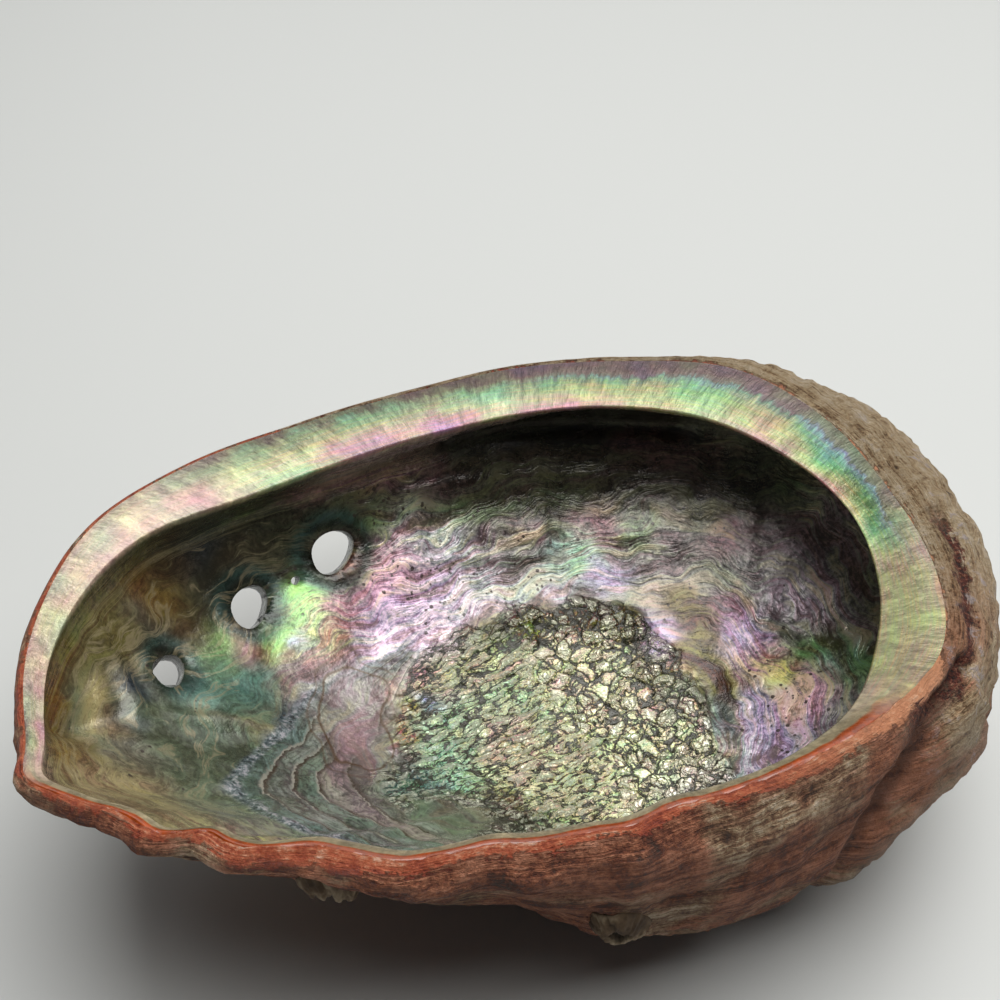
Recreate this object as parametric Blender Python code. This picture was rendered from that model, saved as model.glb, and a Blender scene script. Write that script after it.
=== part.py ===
"""An abalone shell lying on its back, its opening up, with two barnacles grown on its outer wall.

The shell is one closed body, lofted round an upright axis. Each section of it is one curve in a half-plane
through that axis: from the bottom, up the outer wall, over the lip or the nacre shelf, and down the inner
wall. Lengths here are in millimetres and angles in degrees, and MM turns them into Blender's metres.
"""

import math

import bmesh
import bpy
import numpy as np
from mathutils import Matrix, Vector, noise
from mathutils.bvhtree import BVHTree

MM = 0.001

# One section of the shell a row. The length of the shell runs along X, its head end is at -X,
# its spire at +X, the nacre shelf at +Y and the red growing lip at -Y.
SECTION_NAMES = (
    "angle", "margin_r", "margin_z", "widest_r", "widest_z", "wall_slope", "floor_pull", "wall_pull",
    "edge_r", "edge_z", "cavity_top", "thickness",
)
SECTIONS = (
    (0, 68.0, 57.0, 82.0, 38.0, 88, 0.46, 22, 58.5, 53.5, 0.93, 6.0),
    (20, 67.5, 57.5, 87.0, 40.0, 88, 0.46, 22, 60.0, 54.0, 0.93, 6.0),
    (40, 70.5, 57.5, 88.0, 42.0, 88, 0.46, 22, 59.0, 54.0, 0.93, 6.0),
    (57, 72.0, 57.0, 80.5, 43.0, 86, 0.44, 22, 57.5, 54.0, 0.92, 5.6),
    (75, 66.5, 56.0, 70.5, 46.0, 84, 0.42, 24, 54.0, 53.5, 0.90, 5.2),
    (95, 62.5, 55.5, 64.5, 48.5, 78, 0.42, 26, 50.5, 53.0, 0.88, 4.8),
    (115, 60.0, 55.5, 62.0, 49.5, 74, 0.42, 28, 49.0, 53.0, 0.86, 4.6),
    (138, 64.0, 56.0, 65.0, 50.0, 72, 0.42, 28, 52.0, 53.5, 0.86, 4.4),
    (156, 74.0, 56.0, 75.0, 50.5, 70, 0.42, 28, 60.5, 53.5, 0.86, 4.4),
    (170, 82.5, 56.0, 83.5, 51.0, 68, 0.42, 28, 74.5, 53.5, 0.88, 4.4),
    (184, 86.5, 56.0, 88.0, 52.0, 66, 0.42, 28, 82.0, 54.0, 0.90, 4.2),
    (198, 89.0, 56.5, 90.5, 52.5, 60, 0.42, 26, 86.0, 55.0, 0.92, 4.0),
    (211, 89.0, 57.0, 90.5, 54.0, 46, 0.42, 20, 86.5, 56.0, 0.93, 3.8),
    (224, 79.0, 58.0, 82.0, 55.0, 46, 0.44, 22, 77.0, 57.0, 0.93, 3.8),
    (240, 68.5, 59.0, 72.0, 55.5, 52, 0.48, 26, 66.0, 58.0, 0.93, 3.8),
    (258, 61.0, 59.0, 65.0, 55.0, 64, 0.54, 33, 58.5, 58.0, 0.93, 3.8),
    (276, 56.5, 59.0, 61.5, 53.0, 76, 0.60, 37, 54.0, 58.0, 0.94, 3.8),
    (294, 55.0, 58.5, 61.5, 48.0, 86, 0.62, 36, 52.5, 57.5, 0.97, 4.2),
    (313, 57.5, 58.0, 63.5, 42.0, 90, 0.60, 31, 54.5, 56.5, 0.97, 4.8),
    (330, 62.5, 57.5, 69.0, 40.0, 90, 0.56, 28, 56.5, 55.0, 0.95, 5.4),
    (345, 67.5, 57.0, 76.5, 38.0, 90, 0.50, 25, 57.0, 54.0, 0.94, 5.8),
)
GRID = 24                   # cells along each side of the box that is bent into the shell
ROWS = (22, 4, 4, 4, 20)    # outer wall, lip bevel, shelf, underside of the shelf, inner wall
FLOOR_THICKNESS = 4.8
LOWEST = (13.5, 5.5)        # where the floor of the shell bulges lowest, under its centre of mass
WORN_DEPTH = 0.9            # how much of the lowest bulge is worn flat
LOFT_CENTRE = (-2.0, 2.0)   # middle of the finished shell's box, which becomes the origin

# Waves of the growing lip: angle, how far out, width in degrees
LIP_WAVES = ((209, 2.2, 3.0), (218, -0.9, 2.5), (223.5, 1.3, 2.2), (227.5, -1.2, 2.0), (233, 0.9, 3.0),
             (239, -0.7, 3.0), (250, 1.4, 5.0), (261, -0.9, 4.0), (281, 0.6, 4.0), (290, -0.6, 4.0))

RED_LIP = (204, 346)        # between these angles the rim is the growing lip
RED_ABOVE = 51.5            # and above this height its outer face is red

APEX = (60, -16, 19)        # the spire's oldest point, on the outer wall
APEX_OUT = (0.80, -0.22, -0.56)
SUTURE_START = 40.0         # from the apex to where the seam between whorls meets the lip
WHORL_GROWTH = 3.4          # how much a whorl widens in one turn
SUTURE_DEPTH = 3.2

# The row of breathing holes: its height on the wall at some angles, and the holes along it.
ROW_LINE = ((-20, 14), (10, 17), (40, 22), (70, 26), (100, 28), (125, 29), (142, 30.5), (162, 29.5),
            (181, 32.5), (195, 41), (206, 52))
ROW_RIDGE = 1.8
OLD_HOLES = (120, 100, 82, 65, 49, 34, 20)
# centre, which way it looks out, length along the row, width
HOLES = (
    ((-41.8, 33.0, 31.5), (-0.25, 0.72, -0.65), 9.8, 7.6),
    ((-57.0, 19.0, 29.8), (-0.36, 0.60, -0.71), 8.6, 7.4),
    ((-69.2, -1.0, 32.8), (-0.45, 0.38, -0.81), 6.4, 6.0),
    ((-48.8, 26.6, 29.6), (-0.32, 0.66, -0.68), 2.0, 1.7),
)
HOLE_RIM = 1.3

# Hollows and swellings of the inner wall besides: centre, radius, rise
INNER_FORMS = (
    ((-77, -22, 50), 9, -1.6),
    ((-71, -12, 40), 6, 1.2),
    ((-58, -6, 28), 7, 1.2),
    ((-47, -14, 22), 8, 0.9),
    ((-44, 20, 24), 7, 1.0),
    ((10, 55, 36), 14, -1.2),
    ((45, 42, 26), 12, 1.0),
    ((62, 5, 26), 12, -1.0),
)

SCAR_CENTRE = (3, 2)
SCAR_REACH = ((5, 32), (36, 34), (62, 37), (99, 31), (123, 30), (150, 32), (180, 31), (203, 38), (243, 36),
              (273, 38), (298, 40), (322, 39), (344, 36))
SCAR_RISE = 1.1
SCAR_LUMPS = 2.4

# where it grows (angle, height on the outer wall), base radius, height
BARNACLES = {"barnacle_lip": ((239, 47), 6.0, 3.0), "barnacle_wall": ((281, 36), 5.4, 3.2)}
BARNACLE_GAP = 0.6
BARNACLE_SIDES = 20


def clear_scene():
    for obj in list(bpy.data.objects):
        bpy.data.objects.remove(obj)


def ring_spline(angles, values, phi):
    """A smooth closed curve through values at angles, read at phi. Angles are in radians."""
    a = np.concatenate([angles[-2:] - 2 * np.pi, angles, angles[:3] + 2 * np.pi])
    v = np.concatenate([values[-2:], values, values[:3]])
    slope = (v[2:] - v[:-2]) / (a[2:] - a[:-2])
    phi = np.mod(phi, 2 * np.pi)
    i = np.clip(np.searchsorted(a, phi, side="right") - 1, 1, len(a) - 3)
    step = a[i + 1] - a[i]
    t = (phi - a[i]) / step
    return (
        (2 * t**3 - 3 * t**2 + 1) * v[i]
        + (t**3 - 2 * t**2 + t) * step * slope[i - 1]
        + (3 * t**2 - 2 * t**3) * v[i + 1]
        + (t**3 - t**2) * step * slope[i]
    )


def lip_wave(phi):
    """How far the growing lip waves outwards."""
    degrees = np.degrees(phi)
    return sum(rise * np.exp(-(((degrees - at) / width) ** 2)) for at, rise, width in LIP_WAVES)


def sections_at(phi):
    """The section's measures at each angle of phi, by name."""
    table = np.array(SECTIONS, float)
    angles = np.radians(table[:, 0])
    found = {
        name: ring_spline(angles, table[:, i], phi) for i, name in enumerate(SECTION_NAMES) if name != "angle"
    }
    wave = lip_wave(phi)
    for name in ("margin_r", "widest_r", "edge_r"):
        found[name] = found[name] + wave
    found["wall_slope"] = np.radians(found["wall_slope"])
    return found


def bezier(a, b, c, d, t):
    """Radius and height along the curve from a to d, pulled towards b and c."""
    s = 1 - t
    shares = (s**3, 3 * s * s * t, 3 * s * t * t, t**3)
    return np.array([sum(share * point[i] for share, point in zip(shares, (a, b, c, d))) for i in range(2)])


def outer_wall(m, t):
    """From the bottom to the widest point: radius and height."""
    zero = np.zeros_like(t)
    end, pull, slope = (m["widest_r"], m["widest_z"]), m["wall_pull"], m["wall_slope"]
    arrive = (end[0] - pull * np.cos(slope), end[1] - pull * np.sin(slope))
    return bezier((zero, zero), (m["floor_pull"] * m["widest_r"], zero), arrive, end, t)


def inner_wall(m, t):
    """The outer wall's curve moved inwards by the shell's thickness, and its direction."""
    small = 1e-3
    run = outer_wall(m, np.clip(t + small, 0, 1)) - outer_wall(m, np.clip(t - small, 0, 1))
    run = run / np.hypot(*run)
    wall = FLOOR_THICKNESS + (m["thickness"] - FLOOR_THICKNESS) * t
    point = outer_wall(m, t) + wall * np.array([-run[1], run[0]])
    point[0] = np.maximum(point[0], 0)
    return point, run


def lip_bevel(m, t):
    """From the widest point in and up to the margin."""
    reach = np.hypot(m["margin_r"] - m["widest_r"], m["margin_z"] - m["widest_z"])
    start = (m["widest_r"], m["widest_z"])
    pull = 0.45 * reach
    leave = (start[0] + pull * np.cos(m["wall_slope"]), start[1] + pull * np.sin(m["wall_slope"]))
    arrive = (m["margin_r"] + 0.33 * reach, m["margin_z"] + 0.10 * reach)
    return bezier(start, leave, arrive, (m["margin_r"], m["margin_z"]), t)


def shelf(m, t):
    """From the margin to the shelf's inner edge, or across the thin lip."""
    width = np.hypot(m["margin_r"] - m["edge_r"], m["margin_z"] - m["edge_z"])
    leave = (m["margin_r"] - 0.32 * width, m["margin_z"] - 0.03 * width)
    arrive = (m["edge_r"] + 0.33 * width, m["edge_z"] + 0.12 * width)
    return bezier((m["margin_r"], m["margin_z"]), leave, arrive, (m["edge_r"], m["edge_z"]), t)


def underside(m, t):
    """From the shelf's inner edge back under it to the inner wall."""
    top, run = inner_wall(m, m["cavity_top"])
    drop = np.hypot(m["edge_r"] - top[0], m["edge_z"] - top[1])
    overhang = np.clip((top[0] - m["edge_r"]) / 8, 0, 1)
    leave = (m["edge_r"] + (0.16 * overhang - 0.05) * drop, m["edge_z"] - 0.25 * drop)
    arrive = (top[0] + 0.40 * drop * run[0], top[1] + 0.40 * drop * run[1])
    return bezier((m["edge_r"], m["edge_z"]), leave, arrive, top, t)


def loft(phi, row):
    """Points of the shell at these angles, and at these rows counted from the lowest point up and over."""
    m_all = sections_at(phi)
    starts = np.concatenate([[0], np.cumsum(ROWS)])
    points = np.zeros((len(phi), 3))
    for part in range(len(ROWS)):
        here = (row >= starts[part]) & (row < starts[part + 1] + (part == len(ROWS) - 1))
        m = {name: value[here] for name, value in m_all.items()}
        t = (row[here] - starts[part]) / ROWS[part]
        share = np.ones_like(t)
        if part == 0:
            r, z = outer_wall(m, t)
            share = r / m["widest_r"]
        elif part == 1:
            r, z = lip_bevel(m, t)
        elif part == 2:
            r, z = shelf(m, t)
        elif part == 3:
            r, z = underside(m, t)
            share = 1 + (outer_wall(m, m["cavity_top"])[0] / m["widest_r"] - 1) * t
        else:
            (r, z), _ = inner_wall(m, m["cavity_top"] * (1 - t))
            share = outer_wall(m, m["cavity_top"] * (1 - t))[0] / m["widest_r"]
        pulled = np.clip(1 - share**2, 0, 1) ** 2
        points[here, 0] = r * np.cos(phi[here]) + LOWEST[0] * pulled
        points[here, 1] = r * np.sin(phi[here]) + LOWEST[1] * pulled
        points[here, 2] = z
    return points


def bump(distance, width):
    return math.exp(-((distance / width) ** 2))


def row_height(angle):
    """Height of the row of holes at an angle, or None past its ends."""
    angle = (angle + 30) % 360 - 30
    angles, heights = zip(*ROW_LINE)
    if not angles[0] <= angle <= angles[-1]:
        return None
    return float(np.interp(angle, angles, heights))


def spire_relief(p):
    """The seam between the whorls winds down to the apex, and the old whorls swell beside it."""
    out = Vector(APEX_OUT).normalized()
    up = (Vector((0, 0, 1)) - out * out.z).normalized()
    front = out.cross(up)
    q = p - Vector(APEX)
    reach = max(q.length, 0.5)
    if reach > SUTURE_START * 1.5 or q.dot(out) < -30:
        return 0.0
    turn = math.atan2(q.dot(front), q.dot(up)) % (2 * math.pi)
    seam = SUTURE_START * WHORL_GROWTH ** (-turn / (2 * math.pi))
    whorls_in = math.log(reach / seam) / math.log(WHORL_GROWTH)
    nearest = min(0, round(whorls_in))
    away = abs(whorls_in - nearest) * reach * math.log(WHORL_GROWTH)
    depth = min(SUTURE_DEPTH, 0.10 * reach)
    swell = 0.9 * depth * math.sin(math.pi * (whorls_in % 1)) if whorls_in < 0 else 0.0
    return swell - depth * bump(away, 2.5 + 0.06 * reach)


def row_relief(p, angle):
    """A ridge along the row of holes, with a knob over each old, closed hole."""
    height = row_height(angle)
    if height is None:
        return 0.0
    ridge = ROW_RIDGE * bump(p.z - height, 5.0)
    radius = math.hypot(p.x, p.y)
    for old in OLD_HOLES:
        along = math.radians((angle - old + 180) % 360 - 180) * radius
        ridge += 1.5 * bump(math.hypot(along, p.z - height), 4.5)
    for centre, _, length, _ in HOLES[:3]:
        away = (p - Vector(centre)).length
        ridge += HOLE_RIM * bump(away - 0.6 * length, 2.5)
    return ridge


def growth_relief(p):
    """Waves parallel to the lip, closer together towards the spire, and uneven lumps."""
    q = p - Vector(APEX)
    age = math.log(max(q.length, 4.0))
    uneven = noise.noise(p * 0.035) * 0.12
    wave = math.sin(26 * (age + uneven)) + 0.5 * math.sin(61 * (age + uneven) + 1.0)
    return 0.45 * wave + 0.9 * noise.noise(p * 0.055 + Vector((7, 1, 3))) + 0.5 * noise.noise(p * 0.13)


def outer_relief(p, angle):
    return spire_relief(p) + row_relief(p, angle) + growth_relief(p)


def scar_mask(p):
    """1 in the muscle scar on the bowl's floor, 0 outside it."""
    x, y = p.x - SCAR_CENTRE[0], p.y - SCAR_CENTRE[1]
    angles, reaches = (np.array(v, float) for v in zip(*SCAR_REACH))
    edge = float(ring_spline(np.radians(angles), reaches, np.array([math.atan2(y, x)]))[0])
    return min(1.0, max(0.0, (edge - math.hypot(x, y)) / 2.5 + 0.5))


def inner_relief(p, angle):
    """The muscle scar is raised and pebbly, and a channel follows the row of holes."""
    scar = scar_mask(p)
    lumps = SCAR_LUMPS * (noise.noise(p * 0.12) + 0.4 * noise.noise(p * 0.22 + Vector((3, 9, 1))))
    rise = scar * (SCAR_RISE + lumps) + (1 - scar) * 0.5 * noise.noise(p * 0.06 + Vector((2, 5, 8)))
    for centre, width, form_rise in INNER_FORMS:
        rise += form_rise * bump((p - Vector(centre)).length, width)
    height = row_height(angle)
    if height is not None:
        rise -= 0.8 * bump(p.z - height - 3, 5.0)
    return rise


def settle(p):
    """Wears the lowest bulge flat, sets it on the ground and moves the shell's middle to the origin."""
    return Vector((p.x - LOFT_CENTRE[0], p.y - LOFT_CENTRE[1], max(p.z, WORN_DEPTH) - WORN_DEPTH))


def phi_degrees(p):
    return math.degrees(math.atan2(p.y, p.x)) % 360


def face_slot(top_row, middle):
    """0 crust, 1 nacre, 2 the red layer, which only the growing lip shows."""
    wall, bevel = ROWS[0], ROWS[1]
    if top_row <= wall:
        return 0
    if top_row <= wall + bevel:
        return 2 if RED_LIP[0] < phi_degrees(middle) < RED_LIP[1] and middle.z > RED_ABOVE * MM else 0
    return 1


def box_grid():
    """A closed box with a fine grid, and the angle and row of the loft that each vertex becomes.

    The grid's rings are the rows, from the middle of the floor out, up the sides and in to the lid's middle.
    """
    side_rows = sum(ROWS) - GRID
    bm = bmesh.new()
    bmesh.ops.create_cube(bm, size=2)
    upright = [e for e in bm.edges if e.verts[0].co.z != e.verts[1].co.z]
    bmesh.ops.subdivide_edges(bm, edges=upright, cuts=side_rows - 1)
    level = [e for e in bm.edges if abs(e.verts[0].co.z - e.verts[1].co.z) < 1e-4]
    bmesh.ops.subdivide_edges(bm, edges=level, cuts=GRID - 1, use_grid_fill=True)
    x, y, z = np.array([v.co for v in bm.verts]).T
    ring = np.maximum(abs(x), abs(y)) * GRID / 2
    row = np.where(z > 0, sum(ROWS) - ring, ring)
    on_side = ring > GRID / 2 - 0.5
    row[on_side] = GRID / 2 + (z[on_side] + 1) / 2 * side_rows
    wide = abs(x) >= abs(y)
    run = np.where(wide, y, -x) / np.where(wide, np.where(x == 0, 1, x), y)
    phi = np.where(wide, 0, np.pi / 2) + np.pi / 4 * run + np.where(np.where(wide, x, y) < 0, np.pi, 0)
    return bm, np.mod(phi, 2 * np.pi), np.rint(row)


def build_shell():
    """The box's rows become the rows of the loft, with its relief raised along the normals."""
    bm, phi, row = box_grid()
    verts = list(bm.verts)
    for vert, point in zip(verts, loft(phi, row)):
        vert.co = point
    bm.normal_update()
    outer_end, inner_start = ROWS[0], sum(ROWS[:4])
    raised = []
    for vert, k in zip(verts, row):
        angle = phi_degrees(vert.co)
        rise = 0.0
        if k <= outer_end:
            rise = outer_relief(vert.co, angle) * min(1.0, (outer_end + 1 - k) / 3)
        elif k >= inner_start:
            rise = inner_relief(vert.co, angle)
        raised.append(settle(vert.co + vert.normal * rise) * MM)
    for vert, point in zip(verts, raised):
        vert.co = point
    bmesh.ops.triangulate(bm, faces=bm.faces, quad_method="SHORT_EDGE")
    row_of = dict(zip(verts, row))
    for face in bm.faces:
        top = max(row_of[vert] for vert in face.verts)
        face.material_index = face_slot(top, face.calc_center_median())
    mesh = bpy.data.meshes.new("shell")
    bm.to_mesh(mesh)
    bm.free()
    mesh.shade_smooth()
    return bpy.data.objects.new("shell", mesh)


def hole_cutter(number, centre, out, length, width):
    """An oval plug through the wall, its long side along the row."""
    bm = bmesh.new()
    bmesh.ops.create_cone(bm, cap_ends=True, segments=20, radius1=0.5, radius2=0.5, depth=16)
    bmesh.ops.scale(bm, vec=(length, width, 1), verts=bm.verts)
    out = Vector(out).normalized()
    along = Vector((-centre[1], centre[0], 0)).cross(out).cross(out).normalized()
    across = out.cross(along)
    turn = Matrix((along, across, out)).transposed().to_4x4()
    bmesh.ops.transform(bm, matrix=turn, verts=bm.verts)
    shift = Vector(centre) - Vector((*LOFT_CENTRE, WORN_DEPTH))
    bmesh.ops.translate(bm, vec=shift, verts=bm.verts)
    bmesh.ops.scale(bm, vec=(MM, MM, MM), verts=bm.verts)
    bmesh.ops.recalc_face_normals(bm, faces=bm.faces)
    mesh = bpy.data.meshes.new(f"hole_cutter_{number}")
    bm.to_mesh(mesh)
    bm.free()
    cutter = bpy.data.objects.new(mesh.name, mesh)
    cutter.hide_render = True
    cutter.display_type = "WIRE"
    return cutter


def build_barnacle(name, place, radius, height, tree):
    """A ribbed cone with a crater, its foot following the shell's wall at a small gap."""
    angle, level = math.radians(place[0]), place[1] - WORN_DEPTH
    aim = Vector((-math.cos(angle), -math.sin(angle), 0))
    start = Vector((-LOFT_CENTRE[0], -LOFT_CENTRE[1], level)) - aim * 150
    point, out, _, _ = tree.ray_cast(start * MM, aim)
    side = out.cross(Vector((0, 0, 1))).normalized()
    turn = Matrix((side, out.cross(side), out)).transposed()
    profile = ((0.0, 0.0), (0.98, 0.0), (1.0, 0.14), (0.84, 0.55), (0.64, 0.92), (0.54, 1.0), (0.42, 0.86),
               (0.30, 0.5), (0.0, 0.42))
    bm = bmesh.new()
    bmesh.ops.create_uvsphere(bm, u_segments=BARNACLE_SIDES, v_segments=len(profile) - 1, radius=1)
    for vert in bm.verts:
        ring = round(math.acos(max(-1, min(1, -vert.co.z))) / math.pi * (len(profile) - 1))
        around = math.atan2(vert.co.y, vert.co.x)
        share, rise = profile[ring]
        rib = 1 + 0.07 * math.cos(8 * around) * min(1, rise * 3) + 0.08 * math.sin(2 * around + radius)
        local = Vector((math.cos(around) * share * rib, math.sin(around) * share * rib, 0)) * radius
        foot = point + turn @ local * MM
        near, normal, _, _ = tree.find_nearest(foot)
        vert.co = near + normal * BARNACLE_GAP * MM + turn @ Vector((0, 0, rise * height)) * MM
    bmesh.ops.recalc_face_normals(bm, faces=bm.faces)
    mesh = bpy.data.meshes.new(name)
    bm.to_mesh(mesh)
    bm.free()
    mesh.shade_smooth()
    return bpy.data.objects.new(name, mesh)


def material(name, colour, roughness, metallic=0.0):
    made = bpy.data.materials.new(name)
    made.use_nodes = True
    shader = made.node_tree.nodes["Principled BSDF"]
    shader.inputs["Base Color"].default_value = (*colour, 1)
    shader.inputs["Roughness"].default_value = roughness
    shader.inputs["Metallic"].default_value = metallic
    return made


def collection(name):
    made = bpy.data.collections.new(name)
    bpy.context.scene.collection.children.link(made)
    return made


def shell_materials(mesh):
    """Crust outside, nacre inside, and the red layer that shows in the growing lip."""
    mesh.materials.append(material("crust", (0.27, 0.17, 0.11), 0.85))
    mesh.materials.append(material("nacre", (0.46, 0.50, 0.42), 0.28, 0.35))
    mesh.materials.append(material("red_layer", (0.52, 0.13, 0.06), 0.5))


def build():
    clear_scene()
    parts, cutters = collection("abalone_shell"), collection("cutters")
    shell = build_shell()
    parts.objects.link(shell)
    shell_materials(shell.data)
    bm = bmesh.new()
    bm.from_mesh(shell.data)
    tree = BVHTree.FromBMesh(bm)
    bm.free()
    for number, hole in enumerate(HOLES, 1):
        cutter = hole_cutter(number, *hole)
        cutters.objects.link(cutter)
        cut = shell.modifiers.new(f"hole_{number}", "BOOLEAN")
        cut.operation = "DIFFERENCE"
        cut.solver = "EXACT"
        cut.object = cutter
    chalk = material("barnacle_plate", (0.55, 0.49, 0.38), 0.8)
    for name, (place, radius, height) in BARNACLES.items():
        barnacle = build_barnacle(name, place, radius, height, tree)
        barnacle.data.materials.append(chalk)
        parts.objects.link(barnacle)


build()
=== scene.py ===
"""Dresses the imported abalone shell: nacre, muscle scar, red lip, crust, barnacles, floor, light and camera.

The shell is lofted again at a finer grid than the solid's, from the same sections. Lengths here are in
millimetres and angles in degrees, in the loft's own frame, and settled() turns them into the frame's metres.
"""

import math

import bmesh
import bpy
import numpy as np
from bpy.props import FloatProperty, FloatVectorProperty, IntProperty, PointerProperty
from mathutils import Matrix, Vector, noise
from mathutils.bvhtree import BVHTree


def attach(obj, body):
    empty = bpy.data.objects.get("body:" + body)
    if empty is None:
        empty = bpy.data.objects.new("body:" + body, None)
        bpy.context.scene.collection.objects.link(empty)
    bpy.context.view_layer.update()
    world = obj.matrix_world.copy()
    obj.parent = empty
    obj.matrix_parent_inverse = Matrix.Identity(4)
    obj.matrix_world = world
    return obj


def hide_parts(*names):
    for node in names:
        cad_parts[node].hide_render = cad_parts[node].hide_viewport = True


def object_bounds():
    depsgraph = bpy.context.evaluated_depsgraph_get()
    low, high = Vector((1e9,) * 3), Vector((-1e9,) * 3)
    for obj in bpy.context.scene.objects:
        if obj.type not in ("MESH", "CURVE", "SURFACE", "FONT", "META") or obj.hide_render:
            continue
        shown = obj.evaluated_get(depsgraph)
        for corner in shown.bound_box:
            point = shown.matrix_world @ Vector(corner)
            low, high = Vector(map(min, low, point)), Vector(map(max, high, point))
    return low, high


bl_info = {
    "name": "Abalone Shell",
    "version": (1, 0, 0),
    "blender": (4, 5, 0),
    "location": "View3D > Sidebar > Abalone",
    "description": "Builds a nacre-lined abalone shell with its crust, lip and barnacles",
    "category": "Add Mesh",
}

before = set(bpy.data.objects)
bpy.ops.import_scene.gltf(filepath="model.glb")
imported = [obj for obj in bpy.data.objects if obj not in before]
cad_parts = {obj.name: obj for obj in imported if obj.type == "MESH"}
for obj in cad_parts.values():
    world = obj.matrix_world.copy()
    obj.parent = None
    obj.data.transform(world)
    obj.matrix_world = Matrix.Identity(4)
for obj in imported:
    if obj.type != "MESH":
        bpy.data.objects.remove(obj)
CAD_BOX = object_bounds()

MM = 0.001

# One section of the shell a row: X is its length, +Y the side of the shelf, -Y that of the growing lip.
SECTION_NAMES = (
    "angle", "margin_r", "margin_z", "widest_r", "widest_z", "wall_slope", "floor_pull", "wall_pull",
    "edge_r", "edge_z", "cavity_top", "thickness",
)
SECTIONS = (
    (0, 68.0, 57.0, 82.0, 38.0, 88, 0.46, 22, 58.5, 53.5, 0.93, 6.0),
    (20, 67.5, 57.5, 87.0, 40.0, 88, 0.46, 22, 60.0, 54.0, 0.93, 6.0),
    (40, 70.5, 57.5, 88.0, 42.0, 88, 0.46, 22, 59.0, 54.0, 0.93, 6.0),
    (57, 72.0, 57.0, 80.5, 43.0, 86, 0.44, 22, 57.5, 54.0, 0.92, 5.6),
    (75, 66.5, 56.0, 70.5, 46.0, 84, 0.42, 24, 54.0, 53.5, 0.90, 5.2),
    (95, 62.5, 55.5, 64.5, 48.5, 78, 0.42, 26, 50.5, 53.0, 0.88, 4.8),
    (115, 60.0, 55.5, 62.0, 49.5, 74, 0.42, 28, 49.0, 53.0, 0.86, 4.6),
    (138, 64.0, 56.0, 65.0, 50.0, 72, 0.42, 28, 52.0, 53.5, 0.86, 4.4),
    (156, 74.0, 56.0, 75.0, 50.5, 70, 0.42, 28, 60.5, 53.5, 0.86, 4.4),
    (170, 82.5, 56.0, 83.5, 51.0, 68, 0.42, 28, 74.5, 53.5, 0.88, 4.4),
    (184, 86.5, 56.0, 88.0, 52.0, 66, 0.42, 28, 82.0, 54.0, 0.90, 4.2),
    (198, 89.0, 56.5, 90.5, 52.5, 60, 0.42, 26, 86.0, 55.0, 0.92, 4.0),
    (211, 89.0, 57.0, 90.5, 54.0, 46, 0.42, 20, 86.5, 56.0, 0.93, 3.8),
    (224, 79.0, 58.0, 82.0, 55.0, 46, 0.44, 22, 77.0, 57.0, 0.93, 3.8),
    (240, 68.5, 59.0, 72.0, 55.5, 52, 0.48, 26, 66.0, 58.0, 0.93, 3.8),
    (258, 61.0, 59.0, 65.0, 55.0, 64, 0.54, 33, 58.5, 58.0, 0.93, 3.8),
    (276, 56.5, 59.0, 61.5, 53.0, 76, 0.60, 37, 54.0, 58.0, 0.94, 3.8),
    (294, 55.0, 58.5, 61.5, 48.0, 86, 0.62, 36, 52.5, 57.5, 0.97, 4.2),
    (313, 57.5, 58.0, 63.5, 42.0, 90, 0.60, 31, 54.5, 56.5, 0.97, 4.8),
    (330, 62.5, 57.5, 69.0, 40.0, 90, 0.56, 28, 56.5, 55.0, 0.95, 5.4),
    (345, 67.5, 57.0, 76.5, 38.0, 90, 0.50, 25, 57.0, 54.0, 0.94, 5.8),
)
FLOOR_THICKNESS = 4.8
LOWEST = (13.5, 5.5)        # where the floor of the shell bulges lowest
WORN_DEPTH = 0.9            # how much of the lowest bulge is worn flat
LOFT_CENTRE = (-2.0, 2.0)   # middle of the finished shell's box, which becomes the origin

# Waves of the growing lip: angle, how far out, width in degrees
LIP_WAVES = ((209, 2.2, 3.0), (218, -0.9, 2.5), (223.5, 1.3, 2.2), (227.5, -1.2, 2.0), (233, 0.9, 3.0),
             (239, -0.7, 3.0), (250, 1.4, 5.0), (261, -0.9, 4.0), (281, 0.6, 4.0), (290, -0.6, 4.0))

# Rows of the fine grid: outer wall, lip bevel, shelf, underside of the shelf, inner wall
ROWS = (88, 14, 30, 24, 104)
FLOOR_CROWDING = 1.3        # crowds the inner wall's rows towards the muscle scar

APEX = (60, -16, 19)        # the spire's oldest point, on the outer wall
APEX_OUT = (0.80, -0.22, -0.56)
SUTURE_START = 40.0         # from the apex to where the seam between whorls meets the lip
WHORL_GROWTH = 3.4          # how much a whorl widens in one turn
SUTURE_DEPTH = 2.4

# The row of breathing holes: its height on the wall at some angles, and the holes along it
ROW_LINE = ((-20, 14), (10, 17), (40, 22), (70, 26), (100, 28), (125, 29), (142, 30.5), (162, 29.5),
            (181, 32.5), (195, 41), (206, 52))
ROW_RIDGE = 1.8
OLD_HOLES = (120, 100, 82, 65, 49, 34, 20)
# centre, which way it looks out, length along the row, width
HOLES = (
    ((-41.8, 33.0, 31.5), (-0.25, 0.72, -0.65), 9.8, 7.6),
    ((-57.0, 19.0, 29.8), (-0.36, 0.60, -0.71), 8.6, 7.4),
    ((-69.2, -1.0, 32.8), (-0.36, 0.50, -0.78), 6.8, 6.4),
    ((-48.8, 26.6, 29.6), (-0.32, 0.66, -0.68), 2.0, 1.7),
)
HOLE_RIM = 1.3

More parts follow.
